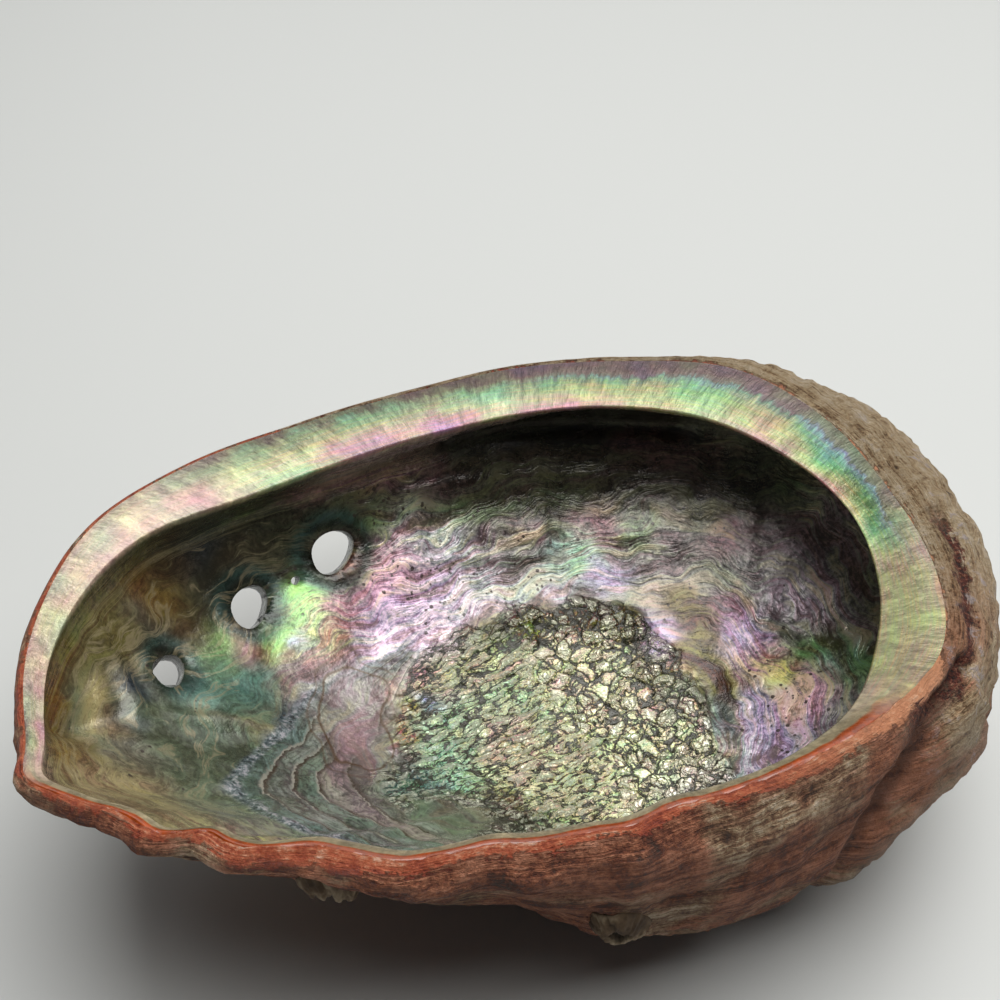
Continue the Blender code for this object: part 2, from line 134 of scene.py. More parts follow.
# Hollows and swellings of the inner wall besides: centre, radius, rise
INNER_FORMS = (
    ((-77, -22, 50), 9, -1.6),
    ((-71, -12, 40), 6, 1.2),
    ((-58, -6, 28), 7, 1.2),
    ((-47, -14, 22), 8, 0.9),
    ((-44, 20, 24), 7, 1.0),
    ((10, 55, 36), 14, -1.2),
    ((45, 42, 26), 12, 1.0),
    ((62, 5, 26), 12, -1.0),
)
SCAR_CENTRE = (3, 2)
SCAR_REACH = ((5, 32), (36, 34), (62, 37), (99, 31), (123, 30), (150, 32), (180, 31), (203, 38), (243, 36),
              (273, 38), (298, 40), (322, 39), (344, 36))
SCAR_RISE = 1.1
PLATEAU = ((-37, 8, 16), (-35, -5, 16))     # the smooth patch at the scar's head end
SMOOTH_PART = (-17, -25, 18)    # where the scar's flakes lie flat
# Where the last ledge beside the scar runs, as an angle and a reach round SCAR_CENTRE
LEDGE_REACH = ((143, 33), (162, 40), (174, 46.5), (190, 53), (207, 64), (222, 59), (241, 53), (267, 50))
LEDGES = 5
LEDGE_RISE = 0.7
# Folds of the inner wall: path, width, rise
FOLDS = (
    (((-84, -32, 53), (-79, -25, 48), (-73, -17, 41)), 2.2, -1.6),
    (((-80, -3, 47), (-75, -7, 42), (-72, -14, 38)), 2.0, 1.1),
    (((-83, -8, 50), (-78, -12, 44), (-75, -19, 41)), 1.8, 0.9),
    (((-78, 6, 46), (-73, 2, 40), (-70, -6, 35)), 2.4, 0.9),
    (((-66, -12, 33), (-58, -9, 27), (-48, -6, 21)), 1.6, 0.8),
    (((-70, -22, 38), (-60, -22, 31), (-50, -16, 24)), 3.0, 0.6),
    (((-18, 50, 45), (-4, 57, 43), (10, 61, 41), (30, 63, 39)), 2.2, -2.0),
    (((-26, 44, 38), (-6, 52, 35), (14, 56, 32)), 1.6, 0.7),
    (((-20, 40, 31), (0, 46, 27), (22, 48, 22)), 1.4, 0.6),
    (((-34, 33, 27), (-18, 38, 25), (0, 42, 22)), 1.2, 0.5),
    (((58, 12, 18), (56, 22, 16), (50, 30, 15)), 1.2, 0.5),
    (((36, -14, 12), (38, -22, 15)), 1.2, 0.5),
)

# Parts of the shell's skin, each with a material of its own
REGIONS = ("crust", "shelf", "bowl", "scar")

# How wide the red layer shows below the rim, by angle
RED_WIDTH = ((130, 0.0), (150, 0.9), (200, 0.9), (212, 1.2), (224, 1.9), (235, 3.4), (241, 3.6), (250, 2.3),
             (262, 2.3), (280, 1.6), (300, 2.0), (325, 3.0), (338, 3.2), (345, 0.0))

# Nacre and shell finishes by name; the darkest ones are also laid on as painted shade under the shelf
FINISHES = {
    "pink": (0.92, 0.56, 0.56),
    "rose": (0.50, 0.24, 0.26),
    "lilac": (0.80, 0.60, 0.86),
    "silver": (0.88, 0.80, 0.80),
    "sky": (0.38, 0.62, 0.78),
    "teal": (0.11, 0.22, 0.19),
    "green": (0.52, 0.78, 0.30),
    "leaf": (0.22, 0.38, 0.14),
    "gold": (0.92, 0.66, 0.30),
    "cream": (0.98, 0.94, 0.62),
    "mint": (0.62, 0.88, 0.60),
    "mauve": (0.42, 0.30, 0.31),
    "plum": (0.16, 0.09, 0.10),
    "heather": (0.60, 0.46, 0.50),
    "orchid": (1.0, 0.80, 0.88),
    "sea_grey": (0.15, 0.18, 0.12),
    "grey": (0.22, 0.20, 0.16),
    # near-black: painted shade under the shelf and above the holes, and a dark nacre tone elsewhere
    "dark_nacre_and_shade": (0.060, 0.055, 0.036),
    "beige": (0.34, 0.26, 0.15),
    "amber": (0.22, 0.11, 0.03),
    "brown": (0.12, 0.075, 0.03),
    "olive": (0.17, 0.13, 0.055),
    # also painted shadow: the slit in the groove under the shelf
    "black": (0.004, 0.003, 0.003),
    "ink": (0.02, 0.035, 0.07),
}
RED_LAYER = (0.42, 0.095, 0.038)
# The shelf's colours from its margin in to its edge, on the spire's side and on the head's side
SPIRE_BANDS = ((0.0, (0.15, 0.12, 0.085)), (0.15, (0.21, 0.185, 0.14)), (0.19, (0.17, 0.20, 0.18)),
               (0.23, (0.22, 0.34, 0.32)), (0.33, (0.27, 0.42, 0.24)), (0.50, (0.46, 0.52, 0.24)),
               (0.70, (0.66, 0.58, 0.32)), (0.86, (0.76, 0.54, 0.42)), (1.0, (0.50, 0.38, 0.28)))
HEAD_BANDS = ((0.0, (0.15, 0.12, 0.085)), (0.14, (0.20, 0.18, 0.12)), (0.24, (0.30, 0.36, 0.22)),
              (0.42, (0.44, 0.52, 0.30)), (0.62, (0.66, 0.62, 0.38)), (0.82, (0.84, 0.62, 0.50)),
              (1.0, (0.68, 0.52, 0.40)))
# How far the shelf's colours are moved in from the margin, by angle
BAND_SHIFT = ((0, -0.15), (5, -0.10), (9, 0.12), (14, 0.30), (18, 0.18), (40, 0.05), (60, 0.17), (85, 0.10),
              (110, 0.08), (125, -0.04), (140, -0.08), (350, -0.15))
# finish, centre or path, reach, strength; some finishes lie where they paint shade
PATCHES = (
    # Under the shelf, where the darkest patches are painted shade
    ("dark_nacre_and_shade", ((-66, 22, 46), (-48, 36, 44), (-28, 45, 41), (0, 54, 36)), 9, 2.0),
    ("dark_nacre_and_shade", ((0, 54, 34), (22, 62, 34), (47, 56, 31)), 12, 1.5),
    ("grey", ((63, 42, 29), (70, 24, 32)), 10, 2.0),
    ("heather", ((-40, 36, 50), (-24, 45, 51), (-8, 51, 50), (8, 54, 50), (30, 58, 48)), 3.5, 4.0),
    ("rose", ((-48, 34, 46), (-34, 42, 43), (-20, 47, 42)), 2.5, 2.0),
    # near-black line along the groove under the shelf: painted shadow in the recess
    ("black", ((-18, 50, 47), (-4, 57, 43), (10, 61, 42), (30, 64, 41)), 3.6, 9.0),
    ("plum", ((-30, 43, 37), (-8, 51, 33), (14, 58, 32), (36, 60, 33)), 3, 2.0),
    ("leaf", ((-34, 38, 34), (-12, 47, 31), (6, 53, 30)), 3, 1.2),
    ("rose", ((20, 60, 36), (38, 58, 36)), 3, 1.5), ("leaf", (56, 50, 35), 6, 1.5),
    ("leaf", (68, 30, 34), 7, 0.8),
    ("amber", (38, 55, 27), 5, 0.8), ("ink", (-66, 22, 44), 5, 2.0), ("ink", (-62, 26, 47), 3, 2.0),
    ("brown", (-70, 16, 45), 5, 2.0), ("brown", (-58, 24, 38), 6, 1.0),
    # Behind the scar, where the first and darkest patch is painted shade under the shelf
    ("dark_nacre_and_shade", ((-12, 53, 32), (12, 57, 31), (38, 58, 30)), 5.5, 9.0),
    ("heather", ((60, 44, 33), (68, 26, 33), (71, 6, 31)), 6, 5.0),
    ("leaf", ((64, 34, 30), (69, 14, 28)), 3, 3.0),
    ("mauve", (24, 51, 24), 8, 1.5), ("mauve", (53, 45, 24), 8, 1.5), ("rose", (13, 51, 24), 5, 2.5),
    ("mint", (9, 46, 21), 4, 1.5), ("teal", (2, 44, 21), 3, 2.0), ("leaf", (21, 51, 23), 4, 2.0),
    ("grey", (34, 47, 20), 7, 1.5), ("mauve", (30, 38, 15), 6, 1.5), ("rose", (40, 48, 24), 4, 1.5),
    ("pink", (-28, 35, 27), 6, 3.0), ("silver", (-25, 39, 30), 6, 2.0), ("silver", (-20, 38, 27), 6, 1.5),
    ("pink", (-35, 29, 25), 4, 2.5), ("gold", (-38, 33, 29), 3, 1.5),
    ("lilac", (-22, 30, 21), 5, 3.0), ("lilac", (-30, 24, 20), 5, 4.0),
    ("orchid", ((-33, 20, 18), (-20, 27, 17)), 4, 8.0), ("silver", (-17, 28, 18), 4, 3.0),
    ("mauve", (-12, 42, 25), 6, 1.5), ("silver", (-8, 34, 18), 5, 2.0), ("grey", (-4, 39, 21), 5, 1.5),
    ("silver", (3, 37, 18), 4, 1.5), ("pink", (-2, 47, 25), 4, 1.2), ("lilac", (14, 41, 17), 4, 1.0),
    # Beside the holes; the near-black patches above them are painted shade on the wall under the shelf
    ("green", (-46, 23, 28), 3.6, 8.0), ("cream", (-43, 19, 25), 3, 3.0), ("pink", (-40, 23, 25), 3.4, 5.0),
    ("gold", (-42, 15, 23), 3.6, 4.0), ("green", (-51, 15, 27), 3, 4.0), ("sky", (-47, 15, 24), 2, 3.0),
    ("mauve", ((-47, 10, 22), (-38, 14, 19)), 4, 2.5), ("brown", ((-50, 6, 23), (-40, 9, 19)), 2, 2.0),
    ("ink", (-51, 20, 30), 2.4, 6.0), ("teal", (-57, 3, 27), 5, 2.0), ("leaf", (-62, 6, 30), 4, 2.0),
    ("pink", (-58, 11, 28), 2.6, 3.0), ("green", (-61, 9, 30), 2.5, 2.5), ("amber", (-54, 12, 27), 1.6, 4.0),
    ("teal", (-63, -6, 31), 5, 2.0), ("dark_nacre_and_shade", (-46, 30, 34), 5, 2.5), ("dark_nacre_and_shade", (-60, 17, 34), 6, 2.5),
    ("brown", (-66, 8, 36), 6, 1.5), ("dark_nacre_and_shade", (-48, 30, 38), 6, 2.0), ("grey", (-56, 24, 36), 4, 1.0),
    # Left wall
    ("olive", (-79, 2, 49), 7, 2.0), ("amber", ((-76, 12, 46), (-72, 10, 40)), 4, 1.5),
    ("brown", ((-76, 16, 49), (-70, 20, 47)), 4, 2.0), ("grey", (-74, 6, 43), 4, 1.5),
    ("olive", (-78, -5, 45), 7, 1.5), ("olive", (-75, -2, 40), 5, 1.5),
    ("amber", ((-83, -14, 53), (-82, -26, 51)), 3.6, 3.0), ("brown", (-83, -10, 53), 4, 2.0),
    ("plum", (-83, -17, 53), 2.5, 2.5), ("beige", ((-77, -14, 43), (-73, -20, 41)), 2.4, 3.0),
    ("ink", (-74, -9, 39), 3, 4.0), ("ink", (-71, -18, 40), 2.4, 3.0), ("brown", (-78, -28, 48), 4, 3.0),
    ("amber", (-78, -35, 51), 4, 2.0), ("grey", (-70, 3, 38), 4, 1.5), ("beige", (-71, -4, 37), 2.4, 2.0),
    ("teal", (-60, -10, 30), 5, 1.5), ("beige", ((-64, -10, 32), (-50, -8, 22)), 1.4, 2.5),
    # Lower left
    ("sea_grey", (-60, -18, 31), 10, 5.0), ("dark_nacre_and_shade", (-57, -17, 29), 6, 2.0),
    ("teal", (-56, -20, 28), 6, 0.8), ("sea_grey", (-50, -20, 25), 9, 1.5),
    ("grey", (-68, -26, 40), 5, 1.5), ("beige", (-68, -38, 45), 7, 2.5), ("beige", (-69, -48, 54), 8, 3.0),
    ("beige", ((-58, -46, 50), (-36, -55, 53), (-14, -55, 53)), 6, 3.0), ("grey", (-50, -40, 42), 7, 1.5),
    ("sea_grey", (-26, -34, 27), 9, 1.5), ("sea_grey", (-8, -44, 35), 9, 1.5),
    ("teal", (-38, -24, 22), 4, 1.5),
    ("teal", (-44, -6, 20), 4, 1.5), ("sea_grey", (-40, -14, 19), 5, 2.0),
    # Ledges, plateau and scar
    ("ink", ((-27, 20, 17), (-35, 14, 17), (-43, 7, 19), (-49, -7, 23), (-54, -25, 31)), 1.6, 3.0),
    ("silver", ((-36, 13, 17), (-44, 5, 20)), 1.2, 2.0), ("grey", ((-50, -22, 28), (-41, -30, 29)), 3, 2.0),
    ("gold", ((-30, 12, 15), (-29, 4, 14), (-27, -1, 13)), 1.6, 3.0),
    ("mauve", PLATEAU, 6, 8.0), ("grey", PLATEAU, 7, 7.0), ("gold", (-27, 8, 15), 2.4, 4.0),
    ("pink", (-23, 14, 14), 2.6, 4.0),
    ("mauve", (-36, -5, 16), 4, 3.0), ("brown", (-25, 15, 15), 1.6, 2.0), ("sky", (-22, 10, 13), 2.2, 4.0),
    ("brown", (-2, 28, 15), 2.6, 9.0), ("amber", (-1, 27, 14), 1.8, 8.0), ("brown", (11, 33, 14), 4, 3.0),
    ("brown", ((-14, 27, 15), (2, 33, 15), (20, 33, 12)), 2, 6.0), ("olive", (20, 29, 11), 3, 4.0),
    ("cream", (-14, 13, 11), 7, 6.0), ("mint", ((-20, 2, 11), (-8, 12, 9)), 4, 7.0),
    ("sky", ((-22, 10, 12), (-14, 12, 11)), 1.6, 6.0), ("cream", (0, 6, 7), 11, 8.0),
    ("cream", (12, 12, 7), 9, 6.0), ("pink", (-3, 5, 7), 2.5, 8.0), ("pink", (-8, 0, 9), 2.5, 6.0),
    ("pink", (5, 17, 8), 1.8, 12.0), ("cream", (24, 2, 6), 9, 6.0), ("silver", (29, -8, 8), 7, 4.0),
    ("cream", (12, 23, 9), 6, 5.0), ("grey", (28, 14, 8), 3.5, 6.0), ("olive", (26, 22, 9), 4, 4.0),
    ("cream", (6, -8, 8), 9, 5.0), ("mint", (-16, -6, 11), 5, 5.0), ("teal", (-24, -14, 14), 4, 5.0),
    ("grey", (-14, -20, 14), 6, 5.0), ("beige", (-6, -16, 12), 3, 3.0), ("cream", (16, -20, 12), 8, 4.0),
    ("teal", (-30, -8, 14), 3, 2.0), ("sea_grey", (-18, -24, 17), 6, 6.0), ("dark_nacre_and_shade", (-6, -24, 13), 7, 7.0),
    ("dark_nacre_and_shade", (-60, -20, 31), 7, 4.0),
    # Spire side
    ("black", ((29, 27, 10), (33, 21, 9), (36, 12, 8), (38, 2, 9)), 0.8, 5.0),
    ("teal", ((35, 16, 8), (38, 0, 9)), 1.8, 4.0),
    ("brown", ((31, 36, 13), (33, 27, 10), (36, 18, 9)), 2.7, 30.0), ("brown", (36, 17, 8), 2.6, 16.0),
    ("lilac", (27, 29, 11), 3.6, 4.0), ("pink", (28, 22, 9), 3, 2.0),
    ("lilac", (42, 28, 12), 4, 4.0), ("pink", (45, 22, 11), 4, 4.0), ("gold", (49, 19, 12), 3.2, 3.0),
    ("rose", (40, 32, 14), 4, 2.0), ("green", (47, 16, 12), 2, 1.5),
    ("lilac", (45, 7, 10), 6, 3.0), ("silver", (37, 9, 8), 3, 3.0), ("pink", (51, 11, 13), 5, 2.5),
    ("silver", (41, 0, 9), 4, 2.0), ("lilac", (44, -5, 12), 5, 2.0), ("teal", (37, -5, 8), 2, 3.0),
    ("leaf", (55, 21, 16), 4, 2.0), ("grey", (55, 27, 17), 5, 2.0), ("dark_nacre_and_shade", (52, 26, 15), 2, 4.0),
    ("heather", (58, 34, 21), 8, 3.0), ("leaf", (62, 12, 22), 6, 1.5), ("heather", (60, 4, 20), 6, 1.6),
    ("heather", (66, 18, 30), 7, 1.5), ("mint", (64, 6, 28), 4, 0.8),
    ("leaf", (63, -2, 27), 6, 1.0), ("rose", (66, 20, 26), 5, 0.8), ("teal", (57, 16, 17), 3, 1.2),
)
# Where small pits cluster: centre, reach
PITTED = (((-22, 36, 26), 15), ((0, 46, 24), 12), ((-5, 36, 20), 10), ((48, 5, 12), 12), ((48, 20, 13), 8),
          ((26, 47, 21), 10), ((-33, 42, 38), 9))

# where it grows (angle, height on the outer wall), base radius, height
BARNACLES = {"barnacle_lip": ((239, 47), 6.0, 3.0), "barnacle_wall": ((281, 36), 5.4, 2.4)}

# A barnacle's side from its foot over its rim into its crater: shares of its radius and height
BARNACLE_SIDE = ((0.0, 0.0), (0.98, 0.0), (1.0, 0.08), (0.95, 0.24), (0.86, 0.46), (0.75, 0.70), (0.65, 0.90),
                 (0.57, 1.0), (0.48, 0.96), (0.42, 0.80), (0.38, 0.55), (0.30, 0.42), (0.14, 0.46),
                 (0.0, 0.48))

# The lights in metres: place, size
LIGHTS_AIM = (0, 0, 0.02)
WINDOW = ((0.20, 0.75, 0.65), (1.3, 0.8))
CEILING = ((0.18, 0.05, 1.10), (1.1, 1.1))
CAMERA_PLACE = (-6.0, -195.7, 241.4)
CAMERA_PITCH = 49.0
CAMERA_LENS = 55.4


def ring_spline(angles, values, phi):
    """A smooth closed curve through values at angles, read at phi. Angles are in radians."""
    a = np.concatenate([angles[-2:] - 2 * np.pi, angles, angles[:3] + 2 * np.pi])
    v = np.concatenate([values[-2:], values, values[:3]])
    slope = (v[2:] - v[:-2]) / (a[2:] - a[:-2])
    phi = np.mod(phi, 2 * np.pi)
    i = np.clip(np.searchsorted(a, phi, side="right") - 1, 1, len(a) - 3)
    step = a[i + 1] - a[i]
    t = (phi - a[i]) / step
    return (
        (2 * t**3 - 3 * t**2 + 1) * v[i]
        + (t**3 - 2 * t**2 + t) * step * slope[i - 1]
        + (3 * t**2 - 2 * t**3) * v[i + 1]
        + (t**3 - t**2) * step * slope[i]
    )


def sections_at(phi):
    """The section's measures at each angle of phi, by name."""
    table = np.array(SECTIONS, float)
    angles = np.radians(table[:, 0])
    found = {
        name: ring_spline(angles, table[:, i], phi) for i, name in enumerate(SECTION_NAMES) if name != "angle"
    }
    degrees = np.degrees(phi)
    wave = sum(rise * np.exp(-(((degrees - at) / width) ** 2)) for at, rise, width in LIP_WAVES)
    for name in ("margin_r", "widest_r", "edge_r"):
        found[name] = found[name] + wave
    found["wall_slope"] = np.radians(found["wall_slope"])
    return found


def bezier(a, b, c, d, t):
    s = 1 - t
    return np.array([
        s**3 * p + 3 * s * s * t * q + 3 * s * t * t * u + t**3 * v for p, q, u, v in zip(a, b, c, d)
    ])


def outer_wall(m, t):
    """From the bottom to the widest point: radius and height."""
    zero = np.zeros_like(t)
    pull = (m["widest_r"] - m["wall_pull"] * np.cos(m["wall_slope"]),
            m["widest_z"] - m["wall_pull"] * np.sin(m["wall_slope"]))
    leave = (m["floor_pull"] * m["widest_r"], zero)
    return bezier((zero, zero), leave, pull, (m["widest_r"], m["widest_z"]), t)


def inner_wall(m, t):
    """The outer wall's curve moved inwards by the shell's thickness, and its direction."""
    small = 1e-3
    run = outer_wall(m, np.clip(t + small, 0, 1)) - outer_wall(m, np.clip(t - small, 0, 1))
    run = run / np.hypot(*run)
    wall = FLOOR_THICKNESS + (m["thickness"] - FLOOR_THICKNESS) * t
    point = outer_wall(m, t) + wall * np.array([-run[1], run[0]])
    point[0] = np.maximum(point[0], 0)
    return point, run


def lip_bevel(m, t):
    """From the widest point in and up to the margin."""
    reach = np.hypot(m["margin_r"] - m["widest_r"], m["margin_z"] - m["widest_z"])
    start = (m["widest_r"], m["widest_z"])
    leave = (start[0] + 0.45 * reach * np.cos(m["wall_slope"]),
             start[1] + 0.45 * reach * np.sin(m["wall_slope"]))
    arrive = (m["margin_r"] + 0.33 * reach, m["margin_z"] + 0.10 * reach)
    return bezier(start, leave, arrive, (m["margin_r"], m["margin_z"]), t)


def shelf(m, t):
    """From the margin to the shelf's inner edge, or across the thin lip."""
    width = np.hypot(m["margin_r"] - m["edge_r"], m["margin_z"] - m["edge_z"])
    leave = (m["margin_r"] - 0.32 * width, m["margin_z"] - 0.03 * width)
    arrive = (m["edge_r"] + 0.33 * width, m["edge_z"] + 0.12 * width)
    return bezier((m["margin_r"], m["margin_z"]), leave, arrive, (m["edge_r"], m["edge_z"]), t)


def underside(m, t):
    """From the shelf's inner edge back under it to the inner wall."""
    top, run = inner_wall(m, m["cavity_top"])
    drop = np.hypot(m["edge_r"] - top[0], m["edge_z"] - top[1])
    overhang = np.clip((top[0] - m["edge_r"]) / 8, 0, 1)
    leave = (m["edge_r"] + (0.16 * overhang - 0.05) * drop, m["edge_z"] - 0.25 * drop)
    arrive = (top[0] + 0.40 * drop * run[0], top[1] + 0.40 * drop * run[1])
    return bezier((m["edge_r"], m["edge_z"]), leave, arrive, top, t)


def loft(phi, row):
    """Points of the shell at these angles and rows, and which part of the section each is on, and how far."""
    m_all = sections_at(phi)
    starts = np.concatenate([[0], np.cumsum(ROWS)])
    points = np.zeros((len(phi), 3))
    profile = np.zeros(len(phi))
    for part in range(len(ROWS)):
        here = (row >= starts[part]) & (row < starts[part + 1] + (part == len(ROWS) - 1))
        m = {name: value[here] for name, value in m_all.items()}
        t = (row[here] - starts[part]) / ROWS[part]
        profile[here] = part + t
        share = np.ones_like(t)
        if part == 0:
            r, z = outer_wall(m, t)
            share = r / m["widest_r"]
        elif part == 1:
            r, z = lip_bevel(m, t)
        elif part == 2:
            r, z = shelf(m, t)
        elif part == 3:
            r, z = underside(m, t)
            share = 1 + (outer_wall(m, m["cavity_top"])[0] / m["widest_r"] - 1) * t
        else:
            along = m["cavity_top"] * (1 - t) ** FLOOR_CROWDING
            (r, z), _ = inner_wall(m, along)
            share = outer_wall(m, along)[0] / m["widest_r"]
        pulled = np.clip(1 - share**2, 0, 1) ** 2
        points[here, 0] = r * np.cos(phi[here]) + LOWEST[0] * pulled
        points[here, 1] = r * np.sin(phi[here]) + LOWEST[1] * pulled
        points[here, 2] = z
    return points, profile


def box_grid(grid):
    """A closed box with a fine grid, and the angle and row of the loft that each vertex becomes."""
    side_rows = sum(ROWS) - grid
    bm = bmesh.new()
    bmesh.ops.create_cube(bm, size=2)
    upright = [e for e in bm.edges if e.verts[0].co.z != e.verts[1].co.z]
    bmesh.ops.subdivide_edges(bm, edges=upright, cuts=side_rows - 1)
    level = [e for e in bm.edges if abs(e.verts[0].co.z - e.verts[1].co.z) < 1e-4]
    bmesh.ops.subdivide_edges(bm, edges=level, cuts=grid - 1, use_grid_fill=True)
    x, y, z = np.array([v.co for v in bm.verts]).T
    ring = np.maximum(abs(x), abs(y)) * grid / 2
    row = np.where(z > 0, sum(ROWS) - ring, ring)
    on_side = ring > grid / 2 - 0.5
    row[on_side] = grid / 2 + (z[on_side] + 1) / 2 * side_rows
    wide = abs(x) >= abs(y)
    run = np.where(wide, y, -x) / np.where(wide, np.where(x == 0, 1, x), y)
    phi = np.where(wide, 0, np.pi / 2) + np.pi / 4 * run + np.where(np.where(wide, x, y) < 0, np.pi, 0)
    return bm, np.mod(phi, 2 * np.pi), np.rint(row)


def bump(distance, width):
    return np.exp(-((distance / width) ** 2))


def smooth(value, low, high):
    """0 below low, 1 above high, with an even turn between."""
    t = np.clip((value - low) / (high - low), 0, 1)
    return t * t * (3 - 2 * t)


def lumps(points, size, seed=0):
    """Soft noise between -1 and 1, whose lumps are about this size."""
    spots = points / size + np.array([seed * 3.7, seed * 1.9, seed * 5.3])
    return np.fromiter((noise.noise(q) for q in spots.tolist()), float, len(spots))


def cell_reader():
    """Geometry nodes that keep how far each point is from its cell's border, and the cell's numbers."""
    tree = bpy.data.node_groups.new("cell_reader", "GeometryNodeTree")
    tree.interface.new_socket("Geometry", in_out="INPUT", socket_type="NodeSocketGeometry")
    tree.interface.new_socket("Geometry", in_out="OUTPUT", socket_type="NodeSocketGeometry")
    where = tree.nodes.new("GeometryNodeInputPosition").outputs[0]
    geometry = tree.nodes.new("NodeGroupInput").outputs[0]
    for name, feature, output in (("border", "DISTANCE_TO_EDGE", "Distance"), ("cell", "F1", "Color")):
        cells = tree.nodes.new("ShaderNodeTexVoronoi")
        cells.feature = feature
        cells.inputs["Scale"].default_value = 1
        tree.links.new(where, cells.inputs["Vector"])
        keep = tree.nodes.new("GeometryNodeStoreNamedAttribute")
        keep.data_type = "FLOAT_VECTOR" if name == "cell" else "FLOAT"
        keep.inputs["Name"].default_value = name
        tree.links.new(geometry, keep.inputs["Geometry"])
        tree.links.new(cells.outputs[output], keep.inputs["Value"])
        geometry = keep.outputs[0]
    tree.links.new(geometry, tree.nodes.new("NodeGroupOutput").inputs[0])
    return tree


def flakes(spots):
    """Each spot's distance from its cell's border, and three numbers of that cell, for cells of size 1."""
    tree = bpy.data.node_groups.get("cell_reader") or cell_reader()
    mesh = bpy.data.meshes.new("spots")
    mesh.vertices.add(len(spots))
    mesh.vertices.foreach_set("co", spots.astype(np.float32).ravel())
    holder = add_object("spots", mesh)
    holder.modifiers.new("cells", "NODES").node_group = tree
    read = holder.evaluated_get(bpy.context.evaluated_depsgraph_get()).to_mesh()
    border = np.zeros(len(spots), np.float32)
    cell = np.zeros(len(spots) * 3, np.float32)
    read.attributes["border"].data.foreach_get("value", border)
    read.attributes["cell"].data.foreach_get("vector", cell)
    bpy.data.objects.remove(holder)
    bpy.data.meshes.remove(mesh)
    return border.astype(float), cell.reshape(-1, 3).astype(float)


def distance_to(points, place):
    """How far each point is from a place, or from the line through several places."""
    stops = np.atleast_2d(np.array(place, float))
    nearest = np.linalg.norm(points - stops[0], axis=1)
    for start, end in zip(stops[:-1], stops[1:]):
        run = end - start
        along = np.clip((points - start) @ run / (run @ run), 0, 1)
        nearest = np.minimum(nearest, np.linalg.norm(points - start - along[:, None] * run, axis=1))
    return nearest


def row_height(degrees):
    """Height of the row of holes at each angle, and where the row runs."""
    turned = np.mod(degrees + 30, 360) - 30
    angles, heights = np.array(ROW_LINE, float).T
    on_row = smooth(turned, angles[0], angles[0] + 8) * (1 - smooth(turned, angles[-1] - 4, angles[-1]))
    return np.interp(turned, angles, heights), on_row


def spire_place(points):
    """How many whorls in from the lip's seam each point lies, and how far from the apex and from a seam."""
    out = np.array(APEX_OUT) / np.linalg.norm(APEX_OUT)
    up = np.array([0, 0, 1]) - out * out[2]
    up /= np.linalg.norm(up)
    front = np.cross(out, up)
    q = points - np.array(APEX, float)
    reach = np.maximum(np.linalg.norm(q, axis=1), 0.5)
    turn = np.mod(np.arctan2(q @ front, q @ up), 2 * np.pi)
    seam = SUTURE_START * WHORL_GROWTH ** (-turn / (2 * np.pi))
    whorls_in = np.log(reach / seam) / math.log(WHORL_GROWTH)
    nearest = np.minimum(0, np.rint(whorls_in))
    away = abs(whorls_in - nearest) * reach * math.log(WHORL_GROWTH)
    near = (reach < SUTURE_START * 1.5) & (q @ out > -30)
    return whorls_in, reach, away, near


def growth_place(points, rim_points):
    """0 at the rim and lower further back in the shell's growth, as if each old rim were a smaller copy."""
    apex = np.array(APEX, float)
    order = np.argsort(np.arctan2(rim_points[:, 1] - apex[1], rim_points[:, 0] - apex[0]))
    rim = rim_points[order] - apex
    rim_turn, rim_reach = np.arctan2(rim[:, 1], rim[:, 0]), np.linalg.norm(rim, axis=1)
    q = points - apex
    turn = np.arctan2(q[:, 1], q[:, 0])
    reach = np.maximum(np.linalg.norm(q, axis=1), 2.0)
    return np.log(reach / np.interp(turn, rim_turn, rim_reach, period=2 * np.pi))


